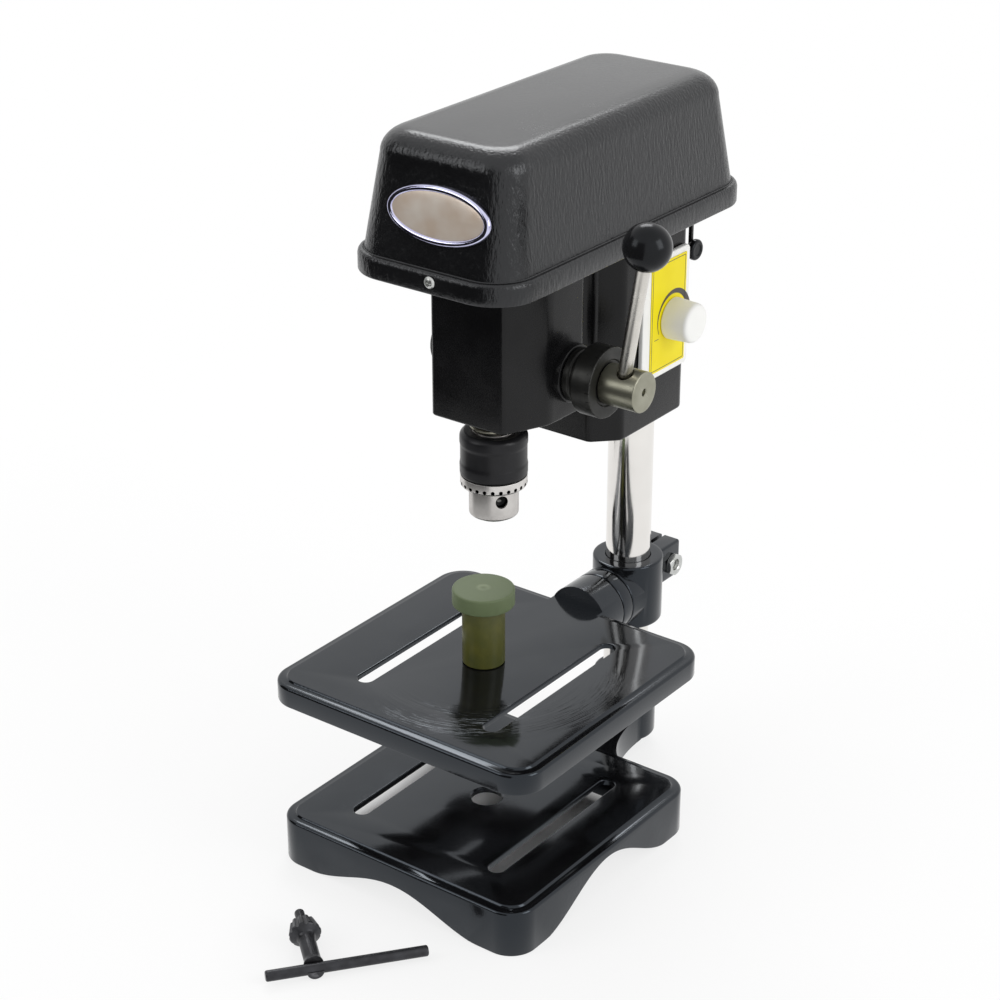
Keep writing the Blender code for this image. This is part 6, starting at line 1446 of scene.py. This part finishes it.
@dataclass
class Hood:
    """Belt hood with its screw and the blank oval plate.

    Attributes:
        half: Half width at the rim.
        front: Front of the rim.
        rear: Rear of the rim.
        bottom: Underside of the rim.
        rim_top: Top of the rim.
        top: Height of the hood.
        wall: Thickness of the sheet.
        lean: Inward lean of side, front and rear up to the top.
        screw_place: Axis of the rim screw.
        badge: X and Z of the oval plate's middle, its half width and its half height.
    """

    half: float = 51.1
    front: float = -184.3
    rear: float = 33.8
    bottom: float = 334.3
    rim_top: float = 345.8
    top: float = 404.6
    wall: float = 3.0
    lean: Point = (6.5, 11.5, 11.5)
    screw_place: Point = (6.0, 0.0, 340.8)
    badge: tuple[float, float, float, float] = (5.6, 371.5, 30.5, 14.0)

    def level(self, z: float, inset: float, corner: float, share: float = 0.0) -> list[Point]:
        """Return one level; share is how far up the leaning walls it is."""
        return lifted(rectangle(self.half - inset - self.lean[0] * share,
                                self.front + inset + self.lean[1] * share,
                                self.rear - inset - self.lean[2] * share,
                                max(corner, 1.0), 20), z)

    def walls(self, skin: float, top: float) -> list[list[Point]]:
        """Return the levels of the leaning walls and the rounded top."""
        rise = top - self.rim_top
        radius = 12.5 - skin / 2
        straight = 1 - radius / rise
        levels = []
        for k in range(9):
            share = straight * k / 9
            levels.append(self.level(self.rim_top + rise * share, 3.4 + skin,
                                     20.1 - 3.6 * share - skin, share))
        for k in range(11):
            angle = math.radians(9 * k)
            extra = radius * (1 - math.cos(angle))
            corner = 20.1 - 3.6 * straight - skin - extra / 2
            levels.append(self.level(top - radius + radius * math.sin(angle),
                                     3.4 + skin + extra, corner, straight))
        return levels

    def shell(self) -> bpy.types.Object:
        """Return the hood with rim, crease and leaning walls, open underneath."""
        inside = self.walls(self.wall, self.top - self.wall)[::-1]
        shelf = self.rim_top - self.wall
        inside[-1] = [(x, y, shelf) for x, y, _ in inside[-1]]
        rim_in = [self.level(z, self.wall, 20.5) for z in (shelf, self.bottom + 0.6)]
        rim_in.append(self.level(self.bottom, self.wall - 0.5, 20.8))
        rim_out = [self.level(z, inset, 23.5 - inset) for z, inset in
                   ((self.bottom, 1.0), (self.bottom + 0.3, 0.4), (self.bottom + 1.0, 0.0),
                    (self.bottom + 8.6, 0.0), (self.bottom + 10.0, 0.35),
                    (self.bottom + 10.9, 1.0), (self.rim_top - 0.1, 1.9),
                    (self.rim_top - 0.1, 2.5), (self.rim_top - 0.5, 2.9))]
        shape = loft("hood_shell", inside + rim_in + rim_out + self.walls(0.0, self.top))
        hole = lathe("screw_bore", [(0, self.front - 4), (2.3, self.front - 4),
                                    (2.3, self.front + 6), (0, self.front + 6)], 0.0, 32,
                     Axis.Y, self.screw_place)
        return carve(shape, [hole])

    def screw(self) -> bpy.types.Object:
        """Return the pan-head screw with its cross recess."""
        face = self.front - 0.3
        x0, _, z0 = self.screw_place
        body = lathe("rim_screw", [(0, face - 1.75), (1.2, face - 1.7), (2.4, face - 1.25, 0.5),
                                   (3.1, face - 0.3, 0.3), (3.1, face, 0.1), (2.0, face),
                                   (2.0, face + 11), (0, face + 11)], 0.2, 64, Axis.Y,
                     self.screw_place)
        bars = [box("cross", (x0 - x, face - 3, z0 - z), (x0 + x, face - 0.9, z0 + z))
                for x, z in ((1.75, 0.38), (0.38, 1.75))]
        return carve(body, bars)

    def oval(self, name: str, levels: Sequence[tuple[float, float]]) -> bpy.types.Object:
        """Return an oval shape on the sloping front; levels are (inset, height) pairs."""
        count = 96
        middle, height, half, rise = self.badge
        loops = [[((half - inset) * math.cos(2 * math.pi * i / count),
                   (rise - inset) * math.sin(2 * math.pi * i / count), z)
                  for i in range(count)] for inset, z in levels]
        shape = loft(name, loops, sharp=50.0)
        slope = math.atan2(self.lean[1], self.top - self.rim_top)
        share = (height - self.rim_top) / (self.top - self.rim_top)
        place = (middle, self.front + 3.4 + self.lean[1] * share - 0.3, height)
        return moved(shape, place, Matrix.Rotation(math.pi / 2 - slope, 4, "X"))

    def build(self) -> None:
        """Build and dress the hood."""
        put(self.shell(), "hood", RIPPLE, ["hood"])
        put(self.screw(), "hood", ZINC, ["hood_screw"], self.screw_place, Axis.Y)
        rim = [(0.0, 0.0), (0.0, 1.0), (0.25, 1.6), (0.8, 2.1), (1.7, 2.35), (2.6, 2.15),
               (3.1, 1.75), (3.3, 1.45), (3.4, 0.2)]
        put(self.oval("badge_rim", rim), "hood", BADGE_RIM, ["badge_plate"])
        face = [(3.2, 0.15), (3.2, 1.5), (3.7, 1.56), (4.8, 1.68), (7.0, 1.85), (10.0, 1.98),
                (12.0, 2.05), (13.5, 2.08)]
        put(self.oval("badge_face", face), "hood", BADGE_FACE)


@dataclass
class Drive:
    """Motor, pulleys and belt under the hood, with the tension knob behind the head.

    Attributes:
        motor_y: Y of the motor's axis.
        tension: Place of the tension knob.
    """

    motor_y: float = -10.0
    tension: Point = (19.0, 24.5, 301.5)

    @staticmethod
    def pulley(name: str, bore: float, hub: Sequence[tuple[float, float]], radius: float,
               groove: float, y: float) -> bpy.types.Object:
        """Return a pulley with one V groove.

        Args:
            name: Name of the new object.
            bore: Radius of its bore.
            hub: Corners of what is below the rim, from the bore outwards.
            radius: Radius of the rim.
            groove: Radius at the bottom of the groove.
            y: Y of its axis.

        Returns:
            The pulley.
        """
        points = [*hub, (radius, 384.5), (radius, 385.7), (groove, 387.9), (groove, 393.6),
                  (radius, 395.8), (radius, 397.0), (bore, 397.0)]
        return lathe(name, points, 0.25, 80, place=(0, y, 0), ring=True)

    def belt(self) -> bpy.types.Object:
        """Return the belt round both pulleys."""
        def line(first: float, second: float) -> Outline:
            distance = self.motor_y - SPINDLE_Y
            lean = math.asin((first - second) / distance)
            front = [(math.pi - lean + (math.pi + 2 * lean) * k / 40, SPINDLE_Y, first)
                     for k in range(41)]
            back = [(lean + (math.pi - 2 * lean) * k / 40, self.motor_y, second)
                    for k in range(41)]
            return [(r * math.cos(a), y + r * math.sin(a)) for a, y, r in front + back]

        inner, outer = line(13.1, 6.1), line(15.5, 8.5)
        bevel = line(15.1, 8.1)
        return loft("round_belt", [lifted(inner, 388.2), lifted(bevel, 388.2),
                                   lifted(outer, 388.6), lifted(outer, 392.8),
                                   lifted(bevel, 393.2), lifted(inner, 393.2)], closed=True)

    def build(self) -> None:
        """Build and dress the drive."""
        spindle = (0.0, SPINDLE_Y, 0.0)
        motor = (0.0, self.motor_y, 0.0)
        put(self.pulley("driven_pulley", 5.1, [(5.1, 327.8), (7.9, 327.8), (7.9, 384.5)], 16.0,
                        12.8, SPINDLE_Y), "spindle_pulley", ALLOY, ["spindle_pulley"], spindle)
        put(self.pulley("driving_pulley", 3.3, [(3.3, 384.5)], 9.0, 5.8, self.motor_y),
            "motor_rotor", ALLOY, ["motor_pulley"], motor)
        put(self.belt(), "head", RUBBER, ["drive_belt"])
        shell = lathe("motor_can", [(23.3, 342.2), (25.5, 342.2), (25.5, 352.0, 0.4),
                                    (25.0, 352.4, 0.2), (25.0, 353.0, 0.2), (25.5, 353.4, 0.4),
                                    (25.5, 379.0, 2.0), (7.0, 379.0, 0.4), (7.0, 382.0, 0.5),
                                    (3.4, 382.0), (3.4, 376.8), (23.3, 376.8)], 0.3, 112,
                      place=motor, ring=True)
        vents = RingPattern("motor_vents", Spoke.BAR, 12, 16.5, 2.2, 8.0, 7.0).mesh()
        vents = moved(vents, (0, self.motor_y, 378.5))
        put(carve(shell, [vents]), "motor_mount", DARK_STEEL, ["motor_shell"], motor)
        dress_node("motor_plate", DARK_STEEL, motor)
        dress_node("motor_rotor", BRIGHT, motor)
        x, y, z = self.tension
        knob = lathe("tension_grip", [(0, 3.5), (1.05, 3.5), (1.05, 1.3), (5.2, 1.3, 0.3),
                                      (5.8, 2.0, 0.4), (5.8, 4.0, 0.5), (5.0, 4.8, 0.4),
                                      (3.4, 4.8, 0.3), (3.0, 4.2, 0.2), (0, 4.2)], 0.2, 72,
                     Axis.X, self.tension)
        put(knob, "tension_knob", BALL_BLACK, ["tension_knob"], (x, y, z), Axis.X)


@dataclass
class RestPost:
    """Rest post that the lens lies on.

    Attributes:
        place: X and Y of its axis.
        stem_radius: Radius of the stem.
        head_radius: Radius of the head.
        top: Height of the head's face.
    """

    place: tuple[float, float] = (-3.5, -131.0)
    stem_radius: float = 11.4
    head_radius: float = 16.6
    top: float = 153.5

    def build(self) -> None:
        """Build and dress the post."""
        where = (*self.place, 0.0)
        stem = lathe("post_stem", [(0, 110.3), (self.stem_radius, 110.3, 0.7),
                                   (self.stem_radius, 144.2, 0.5), (4.0, 144.2), (4.0, 149.2),
                                   (0, 149.2)], 0.3, 96, place=where)
        put(stem, "rest_post", OLIVE_STEM, ["rest_post_stem"], where)
        head = lathe("post_head", [(0, 149.5), (4.3, 149.5), (4.3, 144.5),
                                   (self.head_radius, 144.5, 0.8),
                                   (self.head_radius, self.top, 1.1), (0, self.top)], 0.2, 128,
                     place=where)
        put(head, "rest_post", OLIVE_HEAD, ["rest_post_head"], where)


@dataclass
class ChuckKey:
    """Loose chuck key that lies in front of the base.

    Attributes:
        cross: X and Y of the point where the bar crosses the shank.
        heading: Direction of the bar in the plan.
        shank_radius: Radius of the shank.
        gear_radius: Largest radius of the gear.
        gear_start: Distance of the gear's rear rim from the bar.
        back: Length of the shank behind the bar.
        bar_radius: Radius of the bar.
        bar_shift: Offset of the bar's middle.
        bar_half: Half length of the bar.
        teeth: Number of teeth.
    """

    cross: tuple[float, float] = (6.2, -284.3)
    heading: float = math.radians(51.9)
    shank_radius: float = 4.4
    gear_radius: float = 8.5
    gear_start: float = 25.5
    back: float = 4.6
    bar_radius: float = 2.9
    bar_shift: float = 16.6
    bar_half: float = 41.75
    teeth: int = 11

    def pose(self) -> Matrix:
        """Return the pose in which shank tail and gear rim lie on the floor."""
        lift = math.asin((self.gear_radius - self.shank_radius) / (self.gear_start + self.back))
        height = self.shank_radius + self.back * math.sin(lift) + 0.05
        turn = Matrix.Rotation(self.heading, 4, "Z")
        lay = Matrix.Rotation(lift - math.pi / 2, 4, "X")
        return Matrix.Translation((*self.cross, height)) @ turn @ lay

    def shank(self) -> bpy.types.Object:
        """Return the shank with its gear and pilot."""
        start = self.gear_start
        tail = -self.bar_radius - 0.7
        body = lathe("key_stem", [
            (0, tail), (self.shank_radius, tail, 1.0), (self.shank_radius, 1.0),
            (self.shank_radius + 0.8, 3.4, 0.4), (self.shank_radius, 5.8, 1.2),
            (self.shank_radius, 21.0),
            (5.0, 22.6, 0.5), (self.gear_radius - 0.4, start - 0.9, 0.4),
            (self.gear_radius, start, 0.3), (6.4, start + 7.6, 0.4), (2.7, start + 8.2, 0.3),
            (2.6, start + 16.0), (1.8, start + 17.0, 0.4), (0, start + 17.0)], 0.4, 96)
        lean = math.atan2(self.gear_radius - 6.4, 7.6)
        cutters = []
        for k in range(self.teeth):
            tooth = lathe("tooth_gap", [(0, -7), (1.35, -7), (1.35, 9), (0, 9)], 0.0, 20)
            turn = Matrix.Rotation(2 * math.pi * (k + 1 / 3) / self.teeth, 4, "Z")
            tilt = Matrix.Rotation(-lean, 4, "Y")
            tooth.data.transform(turn @ Matrix.Translation((7.9, 0, start + 3.5)) @ tilt)
            cutters.append(tooth)
        bore = lathe("bar_bore", [(0, -8), (3.15, -8), (3.15, 8), (0, 8)], 0.0, 40, Axis.X)
        saddle = box("saddle", (-9, -9, -9), (9, -0.4, self.bar_radius + 0.4))
        return carve(body, cutters + [bore, saddle])

    def build(self) -> None:
        """Build and dress the key."""
        where = (*self.cross, 4.7)
        shank = self.shank()
        shank.data.transform(self.pose())
        put(shank, "chuck_key", KEY_OXIDE, ["key_shank"], where)
        low, high = self.bar_shift - self.bar_half, self.bar_shift + self.bar_half
        radius = self.bar_radius
        bar = lathe("key_handle", [(0, low), (radius - 0.5, low, 0.2), (radius, low + 0.7, 0.3),
                                   (radius, high - 0.7, 0.3), (radius - 0.5, high, 0.2),
                                   (0, high)], 0.2, 64, Axis.X)
        bar.data.transform(self.pose())
        put(bar, "key_bar", KEY_OXIDE, ["key_bar"], where)


@dataclass
class Studio:
    """Pale floor, soft lamps and the camera.

    Attributes:
        lens: Focal length in millimetres.
        camera_place: Place of the camera in metres.
        camera_turn: Rotation of the camera in degrees.
        base: X, Y and half width of the floor that is seen through the base's slots.
    """

    lens: float = 85.47
    camera_place: Point = (0.65091, -0.87347, 0.72981)
    camera_turn: Point = (64.51, 0.0, 36.88)
    base: Point = (-0.03015, 0.01685, 0.065)

    def camera(self) -> None:
        """Make the camera of the photograph's view."""
        data = bpy.data.cameras.new("camera")
        data.lens = self.lens
        data.sensor_width = 36.0
        data.clip_start = 0.01
        item = bpy.data.objects.new("camera", data)
        item.location = self.camera_place
        item.rotation_euler = [math.radians(v) for v in self.camera_turn]
        bpy.context.scene.collection.objects.link(item)
        bpy.context.scene.camera = item

    def lamp(self, name: str, place: Point, target: Point, size: tuple[float, float],
             power: float) -> None:
        """Hang one soft area lamp."""
        data = bpy.data.lights.new(name, "AREA")
        data.shape = "RECTANGLE"
        data.size, data.size_y = size
        data.energy = power
        item = bpy.data.objects.new(name, data)
        item.location = place
        aim = Vector(target) - Vector(place)
        item.rotation_euler = aim.to_track_quat("-Z", "Y").to_euler()
        bpy.context.scene.collection.objects.link(item)

    def floor(self) -> None:
        """Lay the pale floor, which fades to plain white away from the machine."""
        bm = bmesh.new()
        bmesh.ops.create_grid(bm, x_segments=1, y_segments=1, size=6.0)
        item = to_object(bm, "studio_floor")
        graph = Graph("floor_pale")
        shader = graph.surface
        shader.inputs["Base Color"].default_value = (0.93, 0.93, 0.93, 1.0)
        shader.inputs["Roughness"].default_value = 0.9
        shader.inputs["Specular IOR Level"].default_value = 0.0
        paths = graph.add("ShaderNodeLightPath")
        seen = graph.math("MAXIMUM", paths.outputs["Is Camera Ray"], graph.math(
            "MAXIMUM", paths.outputs["Is Glossy Ray"], paths.outputs["Is Transmission Ray"]))
        split = graph.add("ShaderNodeSeparateXYZ")
        graph.link(graph.add("ShaderNodeTexCoord").outputs["Object"], split.inputs[0])
        beside = graph.math("ABSOLUTE", graph.math("SUBTRACT", split.outputs["X"], self.base[0]))
        before = graph.math("ABSOLUTE", graph.math("SUBTRACT", split.outputs["Y"], self.base[1]))
        away = graph.math("MAXIMUM", beside, before)
        near = graph.spread(away, self.base[2] - 0.016, self.base[2] + 0.006, 0.0, 0.78)
        fade = graph.math("MAXIMUM", near, graph.spread(away, 0.20, 0.60, 0.0, 1.0))
        white = graph.add("ShaderNodeEmission")
        white.inputs["Color"].default_value = (1.0, 1.0, 1.0, 1.0)
        white.inputs["Strength"].default_value = 1.0
        mixed = graph.add("ShaderNodeMixShader")
        graph.link(graph.math("MULTIPLY", seen, fade), mixed.inputs[0])
        graph.link(shader.outputs[0], mixed.inputs[1])
        graph.link(white.outputs[0], mixed.inputs[2])
        graph.link(mixed.outputs[0], graph.tree.nodes["Material Output"].inputs["Surface"])
        item.data.materials.append(graph.material)

    def card(self, name: str, azimuths: tuple[float, float],
             profile: Sequence[tuple[float, float]], grey: float) -> None:
        """Stand a curved dark card that only reflections see.

        Args:
            name: Name of the card.
            azimuths: Its two ends in degrees, from -Y towards +X.
            profile: (distance, height) points in metres, from the floor upwards.
            grey: How bright it is.
        """
        bm = bmesh.new()
        first, last = azimuths
        steps = 24
        rows = []
        for far, z in profile:
            rows.append([bm.verts.new((far * math.sin(math.radians(a)),
                                       -far * math.cos(math.radians(a)), z))
                         for a in (first + (last - first) * k / steps for k in range(steps + 1))])
        for low, high in zip(rows, rows[1:]):
            for k in range(steps):
                bm.faces.new((low[k], low[k + 1], high[k + 1], high[k]))
        item = to_object(bm, name)
        graph = Graph(name)
        graph.surface.inputs["Base Color"].default_value = (0.0, 0.0, 0.0, 1.0)
        graph.surface.inputs["Specular IOR Level"].default_value = 0.0
        graph.surface.inputs["Emission Color"].default_value = (grey, grey, grey, 1.0)
        graph.surface.inputs["Emission Strength"].default_value = 1.0
        item.data.materials.append(graph.material)
        item.visible_camera = False
        item.visible_diffuse = False
        item.visible_shadow = False
        item.visible_transmission = False

    def world(self) -> None:
        """Make the background white for camera, reflections and transmission, and soft light."""
        world = bpy.data.worlds.new("studio")
        bpy.context.scene.world = world
        world.use_nodes = True
        tree = world.node_tree
        paths = tree.nodes.new("ShaderNodeLightPath")
        first = tree.nodes.new("ShaderNodeMath")
        second = tree.nodes.new("ShaderNodeMath")
        for node in (first, second):
            node.operation = "MAXIMUM"
        tree.links.new(paths.outputs["Is Camera Ray"], first.inputs[0])
        tree.links.new(paths.outputs["Is Glossy Ray"], first.inputs[1])
        tree.links.new(first.outputs[0], second.inputs[0])
        tree.links.new(paths.outputs["Is Transmission Ray"], second.inputs[1])
        soft = tree.nodes["Background"]
        soft.inputs["Color"].default_value = (1.0, 1.0, 1.0, 1.0)
        soft.inputs["Strength"].default_value = 0.72
        plain = tree.nodes.new("ShaderNodeBackground")
        plain.inputs["Color"].default_value = (1.0, 1.0, 1.0, 1.0)
        plain.inputs["Strength"].default_value = 1.0
        mixed = tree.nodes.new("ShaderNodeMixShader")
        tree.links.new(second.outputs[0], mixed.inputs[0])
        tree.links.new(soft.outputs[0], mixed.inputs[1])
        tree.links.new(plain.outputs[0], mixed.inputs[2])
        tree.links.new(mixed.outputs[0], tree.nodes["World Output"].inputs["Surface"])

    def build(self) -> None:
        """Set up floor, cards, lamps, world and camera."""
        self.floor()
        self.world()
        self.card("front_card", (-75.0, 22.0), ((0.42, 0.001), (2.9, 0.001), (3.0, 2.4)), 0.02)
        self.lamp("top_lamp", (-1.0, 1.35, 1.95), (0.0, 0.0, 0.3), (1.1, 0.8), 16.0)
        self.lamp("side_lamp", (1.7, 0.2, 1.0), (0.0, 0.0, 0.25), (0.8, 1.1), 9.5)
        self.lamp("front_lamp", (-1.0, -1.6, 1.2), (0.0, 0.0, 0.2), (0.9, 0.9), 7.0)
        self.camera()
        bpy.context.scene.view_settings.view_transform = "Standard"


def main() -> None:
    """Build every sub-assembly and the studio."""
    logging.basicConfig(level=logging.INFO, format="%(message)s")
    for part in (Stand(), Table(), Head(), Control(), Feed(), Spindle(), Hood(), Drive(),
                 RestPost(), ChuckKey()):
        LOG.info("building %s", type(part).__name__)
        part.build()
    Studio().build()


if __name__ == "__main__":
    main()
